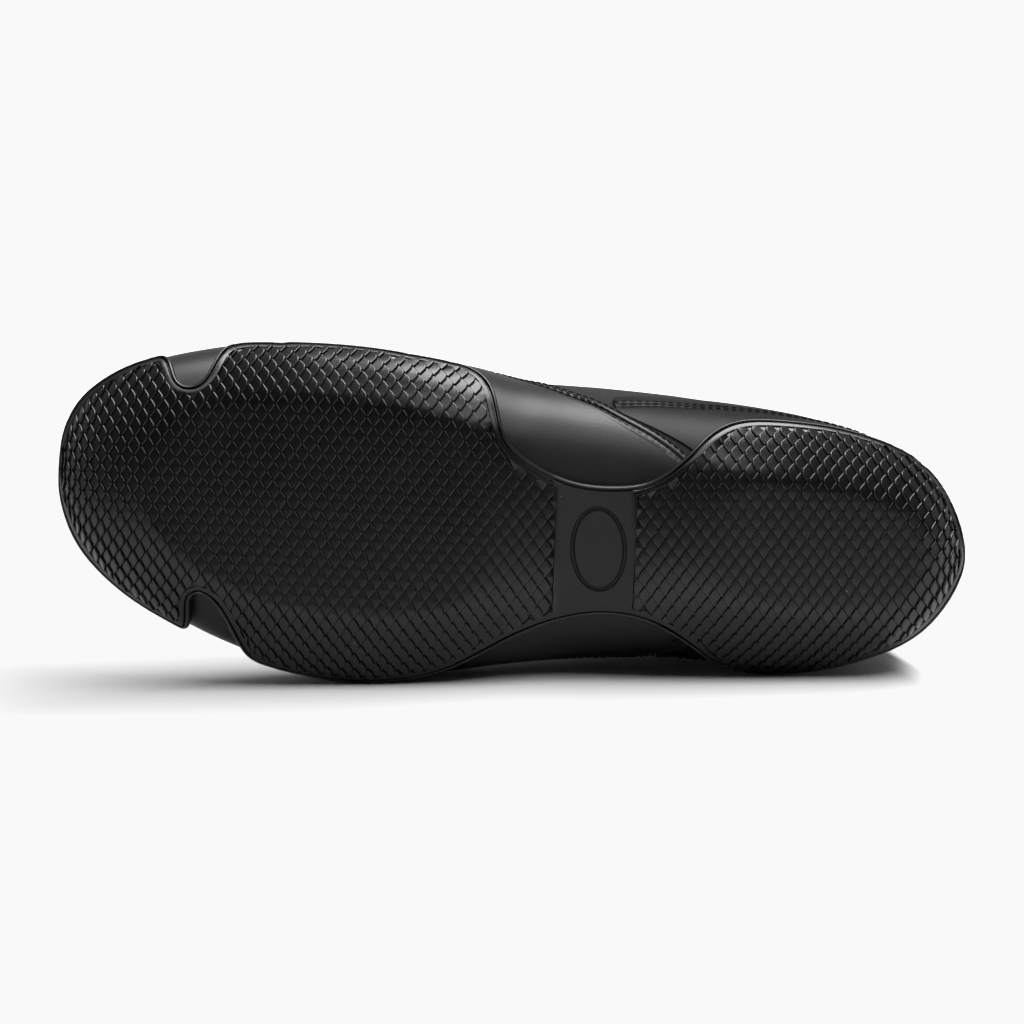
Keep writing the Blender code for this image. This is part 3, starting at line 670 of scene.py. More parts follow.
def rim_outline():
    """Closed outline of the sole in the ground plane, with its notches."""
    inner = [(row.along, row.inner) for row in RIM]
    outer = [(row.along, row.outer) for row in RIM]
    knots = np.array([HEEL_END] + inner + [TOE_END] + outer[::-1])
    fine = []
    for index in range(len(knots)):
        before, start, end, after = (knots[(index + shift) % len(knots)] for shift in (-1, 0, 1, 2))
        size = np.linalg.norm(end - start)
        lead = (end - before) / (np.linalg.norm(start - before) + size) * size
        lag = (after - start) / (np.linalg.norm(after - end) + size) * size
        for t in np.linspace(0.0, 1.0, CURVE_STEPS, endpoint=False):
            weights = (1 - 3 * t**2 + 2 * t**3, t - 2 * t**2 + t**3, 3 * t**2 - 2 * t**3, t**3 - t**2)
            fine.append(weights[0] * start + weights[1] * lead + weights[2] * end + weights[3] * lag)
    fine = np.array(fine)
    for notch in NOTCHES:
        side = math.copysign(1.0, notch.y)
        offset = fine[:, 0] - notch.x
        near = (np.abs(offset) < NOTCH_REACH) & (fine[:, 1] * side > 0)
        half = np.where(offset > 0, notch.toe_half, notch.heel_half)
        depth = notch.depth * np.exp(-(np.abs(offset) / half) ** NOTCH_SQUARENESS)
        inward = np.array([math.sin(notch.lean), -side * math.cos(notch.lean)])
        fine = np.where(near[:, None], fine + depth[:, None] * inward, fine)
    return rounded(spaced(fine, CORNER_STEP), CORNER_ROUND, CORNER_STEP)


def inset_line(outline, distance):
    """Closed outline moved in, softened so that tight corners don't fold."""
    soft = rounded(outline, distance * INSET_SOFTNESS, RIM_STEP) if distance > RIM_STEP else outline
    ahead = np.roll(soft, -1, axis=0) - np.roll(soft, 1, axis=0)
    inward = np.stack([ahead[:, 1], -ahead[:, 0]], axis=1)
    return soft + inward / np.linalg.norm(inward, axis=1, keepdims=True) * distance


class SoleForm:
    """Outside of the sole over the ground, and its unrolled plane with true lengths."""

    def __init__(self):
        stations = np.concatenate([SOLE_TOE_STATIONS, SOLE_BODY_STATIONS])
        _, normal = skin(stations[:, None], SOLE_ANGLES[None, :])
        clear = SOLE_LIFT + SOLE_LIFT_ROUND * (1 - np.clip(-normal[..., 2], 0.0, 1.0))
        lift = clear + self.thickness(normal[..., 2])
        points, normal = skin(stations[:, None], SOLE_ANGLES[None, :], lift)
        self.points = [Vector(p) for p in points.reshape(-1, 3).tolist()]
        self.normals = [Vector(n) for n in normal.reshape(-1, 3).tolist()]
        self.faces = []
        columns = len(SOLE_ANGLES)
        for row in range(len(stations) - 1):
            for column in range(columns - 1):
                first = row * columns + column
                self.faces.append((first, first + columns, first + columns + 1))
                self.faces.append((first, first + columns + 1, first + 1))
        self.tree = BVHTree.FromPolygons(self.points, self.faces)
        self.unroll()

    @staticmethod
    def thickness(facing):
        """Wall of the sole, full under the foot and thinner up at the rim."""
        down = np.clip(-facing, 0.0, 1.0)
        return RIM_THICKNESS + (BOTTOM_THICKNESS - RIM_THICKNESS) * down**2

    def hit(self, x, y):
        """Where a line straight up from the ground meets the outside of the sole."""
        return self.tree.ray_cast(Vector((x, y, UNDER_GROUND)), Vector((0.0, 0.0, 1.0)))

    def above(self, x, y):
        """Point and normal of the sole's outside above a ground point."""
        middle = (HEEL_END[0] + TOE_END[0]) / 2
        place, _, index, _ = self.hit(x, y)
        share = 1.0
        while index is None:
            share -= NUDGE / 4
            place, _, index, _ = self.hit(middle + (x - middle) * share, y * share)
        corners = [self.points[i] for i in self.faces[index]]
        facing = [self.normals[i] for i in self.faces[index]]
        return place, barycentric_transform(place, *corners, *facing).normalized()

    def unroll(self):
        """Lengths along the middle line and across from it, measured on the rubber."""
        self.x = np.arange(*SHEET_LENGTH, SHEET_STEP)
        self.y = np.arange(-FIELD_HALF, FIELD_HALF + SHEET_STEP, SHEET_STEP)
        height = np.full((len(self.x), len(self.y)), np.nan)
        for row, x in enumerate(self.x):
            for column, y in enumerate(self.y):
                place = self.hit(x, y)[0]
                if place is not None:
                    height[row, column] = place.z
        slope = np.gradient(height, SHEET_STEP, axis=1)
        slope = np.clip(np.nan_to_num(slope, nan=0.0), -STEEPEST, STEEPEST)
        middle = len(self.y) // 2
        across = np.cumsum(np.sqrt(1 + slope**2), axis=1) * SHEET_STEP
        self.across = across - across[:, middle:middle + 1]
        rise = np.clip(np.nan_to_num(np.gradient(height[:, middle], SHEET_STEP)), -STEEPEST, STEEPEST)
        self.along = np.cumsum(np.sqrt(1 + rise**2)) * SHEET_STEP

    def row(self, x):
        """Lengths across the sole at a place along it."""
        at = np.clip((x - self.x[0]) / SHEET_STEP, 0, len(self.x) - 1.001)
        first = int(at)
        return self.across[first] * (first + 1 - at) + self.across[first + 1] * (at - first)

    def to_sheet(self, plan):
        """Places on the unrolled plane of points of the ground plan."""
        along = np.interp(plan[:, 0], self.x, self.along)
        across = [np.interp(y, self.y, self.row(x)) for x, y in plan]
        return np.stack([along, np.array(across)], axis=1)

    def lay(self, sheet):
        """Points of the unrolled sheet, with their height over the rubber, laid on the form."""
        plan_x = np.interp(sheet[:, 0], self.along, self.x)
        laid = np.empty((len(sheet), 3))
        for number, (x, across, raised) in enumerate(zip(plan_x, sheet[:, 1], sheet[:, 2])):
            point, normal = self.above(x, np.interp(across, self.row(x), self.y))
            if raised <= INSIDE_MARK:
                raised = -float(self.thickness(normal.z))
            laid[number] = point + normal * raised
        return laid


def extrude_line(item, line, raised):
    """Extrude the selected loop of edges and put its new points on a line, point for point."""
    bpy.ops.mesh.extrude_edges_move()
    work = bmesh.from_edit_mesh(item.data)
    order = work.verts.layers.int["order"]
    for vert in work.verts:
        if vert.select:
            vert.co = (*line[vert[order]], raised)
    bmesh.update_edit_mesh(item.data)


def select_first_loop(item, count):
    """Select the edge loop that the sheet was started with."""
    work = bmesh.from_edit_mesh(item.data)
    bpy.ops.mesh.select_all(action="DESELECT")
    work.verts.ensure_lookup_table()
    for index in range(count):
        work.verts[index].select = True
    work.select_flush_mode()
    for edge in work.edges:
        edge.select = all(vert.index < count for vert in edge.verts)
    bmesh.update_edit_mesh(item.data)


def cut_field(item, cuts):
    """Cut the two filled fields of the sole sheet along straight lines."""
    work = bmesh.from_edit_mesh(item.data)
    for place, facing in cuts:
        faces = [face for face in work.faces if face.material_index == 1]
        around = {part for face in faces for part in (*face.verts, *face.edges)}
        bmesh.ops.bisect_plane(
            work, geom=faces + list(around), dist=NUDGE, plane_co=place, plane_no=facing)
    bmesh.update_edit_mesh(item.data)


def fill_field(item):
    """Fill the selected loop with one face and mark it as field."""
    bpy.ops.mesh.edge_face_add()
    work = bmesh.from_edit_mesh(item.data)
    for face in work.faces:
        if face.select:
            face.material_index = 1
    bmesh.update_edit_mesh(item.data)


def model_shell(target):
    """Sheet of the sole on the unrolled plane: rim profile, fields and inside, as a closed shell."""
    outline = spaced(target.to_sheet(rim_outline()), RIM_STEP)
    count = len(outline)
    item = new_piece(bpy.ops.mesh.primitive_circle_add, vertices=count, fill_type="NOTHING")
    order = item.data.attributes.new("order", "INT", "POINT")
    order.data.foreach_set("value", np.arange(count))
    write_points(item, np.column_stack([outline, np.full(count, RIM_LINES[0].raised)]))
    item.data.materials.append(None)
    item.data.materials.append(None)
    bpy.ops.object.mode_set(mode="EDIT")
    bpy.ops.mesh.select_mode(type="EDGE")
    select_first_loop(item, count)
    for line in RIM_LINES[1:]:
        extrude_line(item, inset_line(outline, line.inset), line.raised)
    fill_field(item)
    select_first_loop(item, count)
    for inset in INSIDE_LINES:
        extrude_line(item, inset_line(outline, inset), INSIDE_MARK)
    fill_field(item)
    start, end = waist_on_sheet(target)
    cuts = []
    for along in np.arange(0.0, outline[:, 0].max(), BASE_CELL):
        cuts.append(((along, 0.0, 0.0), (1.0, 0.0, 0.0)))
    for along in (start - WAIST_STEP, start, end, end + WAIST_STEP):
        cuts.append(((along, WAIST_SLANT_Y, 0.0), (1.0, -WAIST_SLANT, 0.0)))
    for across in np.arange(-FIELD_HALF, FIELD_HALF, BASE_CELL):
        cuts.append(((0.0, across, 0.0), (0.0, 1.0, 0.0)))
    cut_field(item, cuts)
    bpy.ops.object.mode_set(mode="OBJECT")
    points = read_points(item)
    along = points[:, 0] - WAIST_SLANT * (points[:, 1] - WAIST_SLANT_Y)
    on_waist = (along > start - NUDGE) & (along < end + NUDGE)
    base = np.abs(points[:, 2] - RIM_LINES[-1].raised) < NUDGE
    ramp = np.abs(points[:, 2] - RIM_LINES[-2].raised) < NUDGE
    points[:, 2] = np.where(on_waist & (base | ramp), WAIST_RAISE, points[:, 2])
    write_points(item, points)
    return item


def waist_on_sheet(target):
    """Both edges of the smooth waist panel on the unrolled plane."""
    return np.interp(WAIST_PANEL, target.x, target.along)


def field_tree(shell, middle, front):
    """Search tree and reach of the flat tread field before or behind the waist."""
    points = read_points(shell)
    faces = []
    for face in shell.data.polygons:
        level = points[list(face.vertices), 2]
        on_field = face.material_index == 1 and level.max() < NUDGE and level.min() > INSIDE_MARK
        if on_field and (face.center.x > middle) == front:
            faces.append(tuple(face.vertices))
    used = points[sorted({index for face in faces for index in face}), :2]
    flat = [Vector((*point, 0.0)) for point in points[:, :2]]
    return BVHTree.FromPolygons(flat, faces), used.min(axis=0), used.max(axis=0)


def model_lug(sizes, turn):
    """One lug: a rhombus that slopes up to one rounded corner, with rounded edges beside it."""
    lug = new_piece(bpy.ops.mesh.primitive_cube_add, size=1.0, rotation=(0.0, 0.0, math.pi / 4))
    bpy.ops.object.transform_apply(rotation=True)
    bpy.ops.object.mode_set(mode="EDIT")
    bpy.ops.mesh.select_mode(type="EDGE")
    bpy.ops.mesh.select_all(action="SELECT")
    half = sizes.lug_length / MM / 2
    bpy.ops.transform.resize(value=(2 * half, sizes.lug_width / MM, 1.0))
    bpy.ops.transform.resize(value=(math.sqrt(0.5), math.sqrt(0.5), 1.0))
    low = sizes.lug_low / MM
    high = sizes.lug_high / MM
    work = bmesh.from_edit_mesh(lug.data)
    for vert in work.verts:
        slope = 0.5 - 0.5 * vert.co.x / half
        vert.co.z = low + (high - low) * slope if vert.co.z > 0 else -LUG_ROOT
    for edge in work.edges:
        edge.select = all(vert.co.x < -half / 2 for vert in edge.verts)
    bmesh.update_edit_mesh(lug.data)
    bpy.ops.mesh.bevel(offset=sizes.lug_corner / MM, segments=3, affect="EDGES")
    work = bmesh.from_edit_mesh(lug.data)
    for edge in work.edges:
        edge.select = all(vert.co.z > 0 and vert.co.x < NUDGE for vert in edge.verts)
    bmesh.update_edit_mesh(lug.data)
    bpy.ops.mesh.bevel(offset=sizes.lug_round / MM, segments=2, affect="EDGES")
    bpy.ops.mesh.select_all(action="SELECT")
    bpy.ops.transform.rotate(value=turn, orient_axis="Z", center_override=(0.0, 0.0, 0.0))
    bpy.ops.object.mode_set(mode="OBJECT")
    return lug


def turned(points, angle):
    """Points of a plane turned about its origin."""
    turn = np.array([[math.cos(angle), -math.sin(angle)], [math.sin(angle), math.cos(angle)]])
    return points @ turn.T


def model_tread(shell, target, sizes, field):
    """Lugs all over one field, cut to its edges, high corners towards the waist."""
    length = sizes.lug_length / MM
    width = sizes.lug_width / MM
    lug = model_lug(sizes, 0.0 if field.front else math.pi)
    one = len(lug.data.vertices)
    tree, low, high = field_tree(shell, waist_on_sheet(target).mean(), field.front)
    columns = int((high[0] - low[0]) / length) + FIELD_SPARE
    rows = int((high[1] - low[1]) / width) + FIELD_SPARE
    for count, offset in ((columns, (length, 0.0, 0.0)), (rows, (0.0, width, 0.0)),
                          (2, (length / 2, width / 2, 0.0))):
        repeat(lug, count, offset)
    places = read_points(lug)
    middle = np.array([columns // 2 * length, rows // 2 * width])
    places[:, :2] = turned(places[:, :2] - middle, field.turn) + (low + high) / 2
    places = places.reshape(-1, one, 3)
    keep = np.zeros(len(places), bool)
    for number, place in enumerate(places):
        centre = place[:, :2].mean(axis=0)
        gap = tree.find_nearest(Vector((*centre, 0.0)))[3]
        keep[number] = gap < LUG_SLIVER
        if keep[number]:
            for corner in place:
                inside = tree.find_nearest(Vector((corner[0], corner[1], 0.0)))[0]
                corner[:2] = inside.x, inside.y
    work_on(lug)
    bpy.ops.object.mode_set(mode="EDIT")
    bpy.ops.mesh.select_mode(type="VERT")
    bpy.ops.mesh.select_all(action="DESELECT")
    work = bmesh.from_edit_mesh(lug.data)
    work.verts.ensure_lookup_table()
    for vert, place in zip(work.verts, places.reshape(-1, 3)):
        vert.co = place
        vert.select = not keep[vert.index // one]
    bmesh.update_edit_mesh(lug.data)
    bpy.ops.mesh.delete(type="VERT")
    bpy.ops.object.mode_set(mode="OBJECT")
    return lug


def model_oval(target):
    """Round bar along an oval, the shape of the groove in the waist panel."""
    bar = new_piece(
        bpy.ops.mesh.primitive_torus_add, major_segments=96, minor_segments=10,
        major_radius=1.0, minor_radius=OVAL_GROOVE / OVAL_HALF[1])
    points = read_points(bar)
    round_ = points[:, :2] / np.linalg.norm(points[:, :2], axis=1, keepdims=True)
    out = (np.linalg.norm(points[:, :2], axis=1) - 1.0) * OVAL_HALF[1]
    oval = round_ * OVAL_HALF + round_ * out[:, None]
    middle = target.to_sheet(np.array([OVAL_MIDDLE]))[0]
    sheet = turned(oval, -OVAL_TILT) + middle
    write_points(bar, np.column_stack([sheet, points[:, 2] * OVAL_HALF[1] + WAIST_RAISE - OVAL_SINK]))
    return bar


def lay_on_form(item, target):
    """Lay a piece from the unrolled plane onto the sole's form in the world."""
    write_points(item, to_world(target.lay(read_points(item))))
    with editing(item):
        bpy.ops.mesh.quads_convert_to_tris()
        bpy.ops.mesh.normals_make_consistent(inside=False)


# Panels and stitches

def seam_height(seam, side, x):
    """Height of a seam in the side view at a place along the shoe."""
    heights = [row.inner if side > 0 else row.outer for row in seam]
    return smooth([row.x for row in seam], heights, x)


def heel_panel_front():
    """Front edge of the heel panel, behind the edge of the front panel by the seam's gap."""
    rows = []
    for row in FRONT_PANEL_EDGE:
        gap = np.interp(row.x, SEAM_GAP_SPAN, (SEAM_GAP_LOW, SEAM_GAP_TOP))
        rows.append(Seam(row.x - gap, row.inner, row.outer))
    return tuple(rows)


def moved_seam(seam, back, down):
    """Seam moved along and down in the side view."""
    return tuple(Seam(row.x - back, row.inner - down, row.outer - down) for row in seam)


def crossing(station, side, seam):
    """Angle where a section of the form crosses a seam, going up from the sole."""
    low, high = side_edges(station, side)
    angles = np.linspace(float(low), float(high), SEAM_SAMPLES)
    points = form(station, angles)
    over = points[:, 2] - seam_height(seam, side, points[:, 0])
    over = np.where(points[:, 0] > seam[-1].x, -1.0, over)
    if over[0] >= 0:
        return angles[0]
    if over.max() < 0:
        return angles[-1]
    after = int(np.argmax(over >= 0))
    share = over[after - 1] / (over[after - 1] - over[after])
    return angles[after - 1] + share * (angles[after] - angles[after - 1])


class Bounds:
    """Lower and upper angle of a panel at even steps between two stations, on one side."""

    def __init__(self, first, last, side, lower, upper):
        self.stations = np.linspace(first, last, PANEL_SAMPLES)
        self.low = []
        self.high = []
        for station in self.stations:
            under, throat = side_edges(station, side)
            low = crossing(station, side, lower) if lower else float(under)
            high = crossing(station, side, upper) if upper else float(throat)
            high = max(low, high) if side > 0 else min(low, high)
            self.low.append(low)
            self.high.append(high)

    def place(self, along, across, fine):
        """Stations and angles of grid shares, with half of the rows within a distance of the top."""
        station = self.stations[0] + along * (self.stations[-1] - self.stations[0])
        low = np.interp(station, self.stations, self.low)
        high = np.interp(station, self.stations, self.high)
        middle, _ = skin(station, (low + high) / 2)
        top, _ = skin(station, high)
        width = 2 * np.linalg.norm(top - middle, axis=1) + WELD
        near = np.clip(fine / width, 0.0, 0.5)
        share = np.where(
            across < 0.5, across * 2 * (1 - near), 1 - near + (across - 0.5) * 2 * near)
        return station, low + share * (high - low)


def distance_to(points, line):
    """Distance of points to a line of close places."""
    tree = KDTree(len(line))
    for number, place in enumerate(line):
        tree.insert(Vector(place), number)
    tree.balance()
    return np.array([tree.find(Vector(point))[2] for point in points])


def relief(points, lines):
    """Raise of points by the profiles along several lines."""
    raised = np.zeros(len(points))
    for line, profile in lines:
        reach, heights = zip(*profile)
        raised += np.interp(distance_to(points, line), reach, heights)
    return raised


def panel_sheet(name, spans, lines, wall, grid, fine):
    """Panel on both sides of the shoe, with its wall outwards and its cut edges rounded."""
    sides = []
    for side, bounds in spans.items():
        def place(along, across, side=side, bounds=bounds):
            station, angle = bounds.place(along, across, fine)
            points, _ = skin(station, angle)
            return skin(station, angle, PANEL_GAP + relief(points, lines[side]))[0]
        half = draped_grid(*grid, place)
        face_outwards(half, side < 0)
        sides.append(half)
    panel = join(sides, name)
    weld(panel)
    drop_slivers(panel)
    apply_modifier(panel, "SOLIDIFY", thickness=wall * MM, offset=1.0, thickness_clamp=1.0)
    round_edges(panel, wall * MM / 3, 2)
    return panel


def seam_line(side, seam, first, last):
    """Points and normals of a line along a seam of the form, at even small steps."""
    stations = np.linspace(first, last, SEAM_STEPS)
    angles = np.array([crossing(station, side, seam) for station in stations])
    low, high = side_edges(stations, side)
    met = (np.abs(angles - low) > WELD) & (np.abs(angles - high) > WELD)
    points, normals = skin(stations[met], angles[met])
    return even_steps(points, normals)


def even_steps(points, normals):
    """Line with its normals, at even small steps."""
    run = np.concatenate([[0.0], np.cumsum(np.linalg.norm(np.diff(points, axis=0), axis=1))])
    at = np.arange(0.0, run[-1], SEAM_STEP)
    spread = [np.stack([np.interp(at, run, column) for column in rows.T], axis=1)
              for rows in (points, normals)]
    return spread[0], spread[1] / np.linalg.norm(spread[1], axis=1, keepdims=True)


def heel_rows(side):
    """Both stitch lines along the top of the heel panel."""
    for down in (-ROW_HALF, ROW_HALF):
        yield seam_line(side, moved_seam(HEEL_STITCH_LINE, 0.0, down), *HEEL_ROWS)


def beside(line, distance, lift):
    """Line moved sideways along the surface and out along its normals."""
    points, normals = line
    ahead = np.gradient(points, axis=0)
    aside = np.cross(normals, ahead)
    aside /= np.linalg.norm(aside, axis=1, keepdims=True)
    return points + aside * distance + normals * lift, normals


def stitch_places(line, pitch):
    """Middles, directions and normals of stitches along a line of even small steps."""
    points, normals = line
    step = np.linalg.norm(np.diff(points, axis=0), axis=1).mean()
    at = np.arange(pitch / 2 / step, len(points) - 1, pitch / step).astype(int)
    ahead = np.gradient(points, axis=0)[at]
    return points[at], ahead / np.linalg.norm(ahead, axis=1, keepdims=True), normals[at]


def model_stitch(length, width):
    """One stitch: a short thread with round ends, sunk in at both."""
    stitch = new_piece(
        bpy.ops.mesh.primitive_uv_sphere_add, segments=8, ring_count=6, radius=0.5)
    points = read_points(stitch)
    points = points[:, [2, 0, 1]] * (length, width, width * STITCH_FLATNESS)
    write_points(stitch, points)
    return stitch


def sew(name, rows, sizes):
    """Joined stitches along several rows of places."""
    stitch = model_stitch(sizes.stitch_length / MM, sizes.stitch_width / MM)
    shape = read_points(stitch)
    middle, direction, facing = (np.concatenate(column) for column in zip(*rows))
    repeat(stitch, len(middle))
    aside = np.cross(facing, direction)
    frames = np.stack([direction, aside, facing], axis=1)
    places = np.einsum("vk,nkc->nvc", shape, frames) + middle[:, None, :]
    write_points(stitch, to_world(places.reshape(-1, 3)))
    stitch.name = name
    return stitch


# Eyelets

def eyelet_places():
    """Station, angle and side of every eyelet, pair by pair up the throat."""
    places = []
    for station in throat_stations(EYELET_FIRST, EYELET_LAST, EYELET_PAIRS):
        for side in SIDES:
            y = section_at(station).ridge + side * (throat_half(station) + EYELET_INSET)
            places.append((station, float(angle_at(station, y, True)) % (2 * math.pi), side))
    return places


def repeat_on_form(item, places, name):
    """Copies of a piece modelled flat at the origin, set on places of the form."""
    shape = read_points(item)
    repeat(item, len(places))
    copies = []
    for station, angle, _ in places:
        point, facing = skin(station, angle)
        along = form(station + NUDGE, angle) - form(station - NUDGE, angle)
        along -= facing * (along @ facing)
        along /= np.linalg.norm(along)
        copies.append(shape @ np.stack([along, np.cross(facing, along), facing]) + point)
    write_points(item, to_world(np.concatenate(copies)))
    item.name = name
    return item


# Finishes

class Number:
    """Value of a node that takes part in arithmetic: each step adds a Math node."""

    def __init__(self, finish, socket):
        self.finish = finish
        self.socket = socket

    def math(self, operation, first, second=0.0):
        return self.finish.node("ShaderNodeMath", {"operation": operation}, {0: first, 1: second})

    def __add__(self, other):
        return self.math("ADD", self, other)

    def __sub__(self, other):
        return self.math("SUBTRACT", self, other)

    def __rsub__(self, other):
        return self.math("SUBTRACT", other, self)

    def __mul__(self, other):
        return self.math("MULTIPLY", self, other)

    def over(self, edge):
        return self.math("GREATER_THAN", self, edge)

    __radd__ = __add__
    __rmul__ = __mul__


class Finish:
    """Material of one finish, built node by node."""

    def __init__(self, name):
        self.material = bpy.data.materials.new(name)
        self.material.use_nodes = True
        self.tree = self.material.node_tree
        self.shader = self.tree.nodes["Principled BSDF"]

    def node(self, kind, settings, inputs, output=0):
        """Add a node, set it, feed its sockets and return one of its outputs."""
        node = self.tree.nodes.new(kind)
        for key, value in settings.items():
            setattr(node, key, value)
        for key, value in inputs.items():
            self.feed(node.inputs[key], value)
        return Number(self, node.outputs[output])

    def feed(self, socket, value):
        """Link a value to a socket, or set it."""
        if isinstance(value, Number):
            self.tree.links.new(value.socket, socket)
        else:
            socket.default_value = value

    def set(self, **values):
        """Set or link sockets of the surface shader, with _ for a space."""
        for key, value in values.items():
            self.feed(self.shader.inputs[key.replace("_", " ")], value)

    def place(self):
        """Place on the object, in metres."""
        return self.node("ShaderNodeTexCoord", {}, {}, output="Object")

    def part(self, vector, axis):
        """One coordinate of a vector."""
        return self.node("ShaderNodeSeparateXYZ", {}, {0: vector}, output=axis)

    def noise(self, scale, detail=2.0):
        """Soft noise on the object's own place; scale counts per metre."""
        return self.node(
            "ShaderNodeTexNoise", {}, {"Vector": self.place(), "Scale": scale, "Detail": detail},
            output="Fac")

    def cells(self, scale):
        """Distance to the nearest of scattered points; scale counts per metre."""
        return self.node(
            "ShaderNodeTexVoronoi", {}, {"Vector": self.place(), "Scale": scale}, output="Distance")

    def span(self, value, low, high, start=0.0, end=1.0):
        """Map a range of values onto another, held at both ends."""
        return self.node(
            "ShaderNodeMapRange", {}, {0: value, 1: low, 2: high, 3: start, 4: end})

    def mix(self, share, first, second):
        """Colour between two colours."""
        return self.node(
            "ShaderNodeMix", {"data_type": "RGBA"},
            {0: share, 6: first, 7: second}, output=2)

    def bump(self, height, distance, strength=1.0):
        """Raise the surface by a height of 0 to 1 times a distance in metres."""
        return self.node(
            "ShaderNodeBump", {}, {"Height": height, "Distance": distance, "Strength": strength})


def colour(values):
    """Colour with full alpha."""
    return (*values, 1.0)


def shade_of(values, factor):
    """Lighter or darker tone of a colour."""
    return (*(min(1.0, value * factor) for value in values), 1.0)


def rubber_finish(looks):
    """Moulded black rubber, satin, with a fine grain, a few dull patches and dust specks."""
    finish = Finish("moulded_black_rubber")
    patches = finish.noise(scale=45.0, detail=3.0)
    grain = finish.noise(scale=2600.0, detail=2.0)
    specks = finish.span(finish.cells(scale=420.0), low=0.05, high=0.09, start=1.0, end=0.0)
    rare = finish.noise(scale=190.0, detail=1.0).over(0.66)
    dust = specks * rare * 0.8
    middle = to_world((sum(WAIST_PANEL) / 2, OVAL_MIDDLE[1], 0.0))
    waist = finish.part(finish.place(), 0) - float(middle[0])
    dull = finish.span(waist.math("ABSOLUTE", waist), *WAIST_DULL, start=1.0, end=0.0)
    satin = finish.span(patches, low=0.3, high=0.7, start=0.24, end=0.28)
    base = finish.mix(patches, shade_of(looks.rubber, 0.85), shade_of(looks.rubber, 1.2))
    finish.set(
        Base_Color=finish.mix(dust, base, colour(looks.dust)),
        Roughness=satin + 0.2 * dust + looks.waist_dull * dull,
        Specular_IOR_Level=looks.rubber_gloss,
        Normal=finish.bump(grain, distance=0.00003, strength=0.5))
    return finish.material


def leather_finish(name, looks, gloss):
    """Smooth coated leather with a fine pebble and a soft sheen."""
    finish = Finish(name)
    pebble = finish.cells(scale=1500.0)
    soft = finish.noise(scale=60.0, detail=3.0)
    height = 0.7 * pebble + 0.3 * finish.noise(scale=700.0)
    finish.set(
        Base_Color=finish.mix(soft, shade_of(looks.leather, 0.9), shade_of(looks.leather, 1.15)),
        Roughness=finish.span(soft, low=0.3, high=0.7, start=0.38, end=0.44),
        Specular_IOR_Level=gloss,
        Normal=finish.bump(height, distance=0.00004, strength=0.4))
    return finish.material


def woven_finish(name, values, threads_along, threads_across, depth):
    """Woven textile: two crossing sets of threads on the piece's own surface map, painted darker between
    them as shade.
    """
    finish = Finish(name)
    on_map = finish.node("ShaderNodeUVMap", {}, {})
    along = finish.part(on_map, 0) * (threads_along * math.pi)
    across = finish.part(on_map, 1) * (threads_across * math.pi)
    warp = along.math("SINE", along)
    weft = across.math("SINE", across)
    weave = 0.5 + 0.5 * warp * weft
    fuzz = finish.noise(scale=1800.0, detail=2.0)
    # Colour follows the bump: darker where weave and fuzz are low, lighter on the raised threads, as painted
    # shade in the hollows
    finish.set(
        Base_Color=finish.mix(0.6 * weave + 0.4 * fuzz, shade_of(values, 0.7), shade_of(values, 1.4)),
        Roughness=finish.span(fuzz, low=0.3, high=0.7, start=0.78, end=0.9),
        Specular_IOR_Level=0.3,
        Normal=finish.bump(0.8 * weave + 0.2 * fuzz, distance=depth))
    return finish.material


def thread_finish(looks):
    """Black sewing thread with a fine twist, painted darker in the twist's hollows as shade."""
    finish = Finish("black_thread")
    twist = finish.noise(scale=3000.0, detail=1.0)
    # Colour follows the bump: darker where the twist is low, lighter where it is raised, as painted shade in
    # the hollows
    finish.set(
        Base_Color=finish.mix(twist, shade_of(looks.thread, 0.8), shade_of(looks.thread, 1.3)),
        Roughness=finish.span(twist, low=0.3, high=0.7, start=0.75, end=0.9),
        Specular_IOR_Level=0.12,
        Normal=finish.bump(twist, distance=0.00005))
    return finish.material


def cord_finish(looks):
    """Black braided cord, painted darker between the raised strands of the braid as shade."""
    finish = Finish("black_cord")
    braid = finish.cells(scale=1300.0)
    # Colour follows the bump: lighter on the raised strands of the braid and darker between them, as painted
    # shade
    finish.set(
        Base_Color=finish.mix(braid, shade_of(looks.cord, 1.4), shade_of(looks.cord, 0.6)),
        Roughness=finish.span(braid, low=0.2, high=0.8, start=0.7, end=0.9),
        Specular_IOR_Level=0.3,
        Normal=finish.bump(1.0 - braid, distance=0.00025))
    return finish.material


def floor_finish(looks):
    """Pale matt studio floor."""
    finish = Finish("pale_floor")
    soft = finish.noise(scale=3.0, detail=1.0)
    finish.set(
        Base_Color=finish.mix(soft, colour(looks.floor), shade_of(looks.floor, 1.01)),
        Roughness=1.0,
        Specular_IOR_Level=0.0)
    return finish.material


# Settings

def length_setting(label, about, size):
    """Setting for a length."""
    return FloatProperty(name=label, description=about, default=size, unit="LENGTH")


def angle_setting(label, about, angle):
    """Setting for an angle."""
    return FloatProperty(name=label, description=about, default=angle, unit="ROTATION")


def share_setting(label, about, value):
    """Setting for a share of one."""
    return FloatProperty(name=label, description=about, default=value, subtype="FACTOR")


def number_setting(label, about, value):
    """Setting for a plain number."""
    return FloatProperty(name=label, description=about, default=value)


def colour_setting(label, about, values):
    """Setting for a colour."""
    return FloatVectorProperty(name=label, description=about, default=values, subtype="COLOR")


def pair_setting(label, about, sizes):
    """Setting for a length and a width."""
    return FloatVectorProperty(name=label, description=about, default=sizes, size=2, unit="LENGTH")


def place_setting(label, about, place):
    """Setting for a place in the world."""
    return FloatVectorProperty(name=label, description=about, default=place, unit="LENGTH")


def pixel_setting(label, about, place):
    """Setting for a place in the photograph."""
    return FloatVectorProperty(name=label, description=about, default=place, size=2)


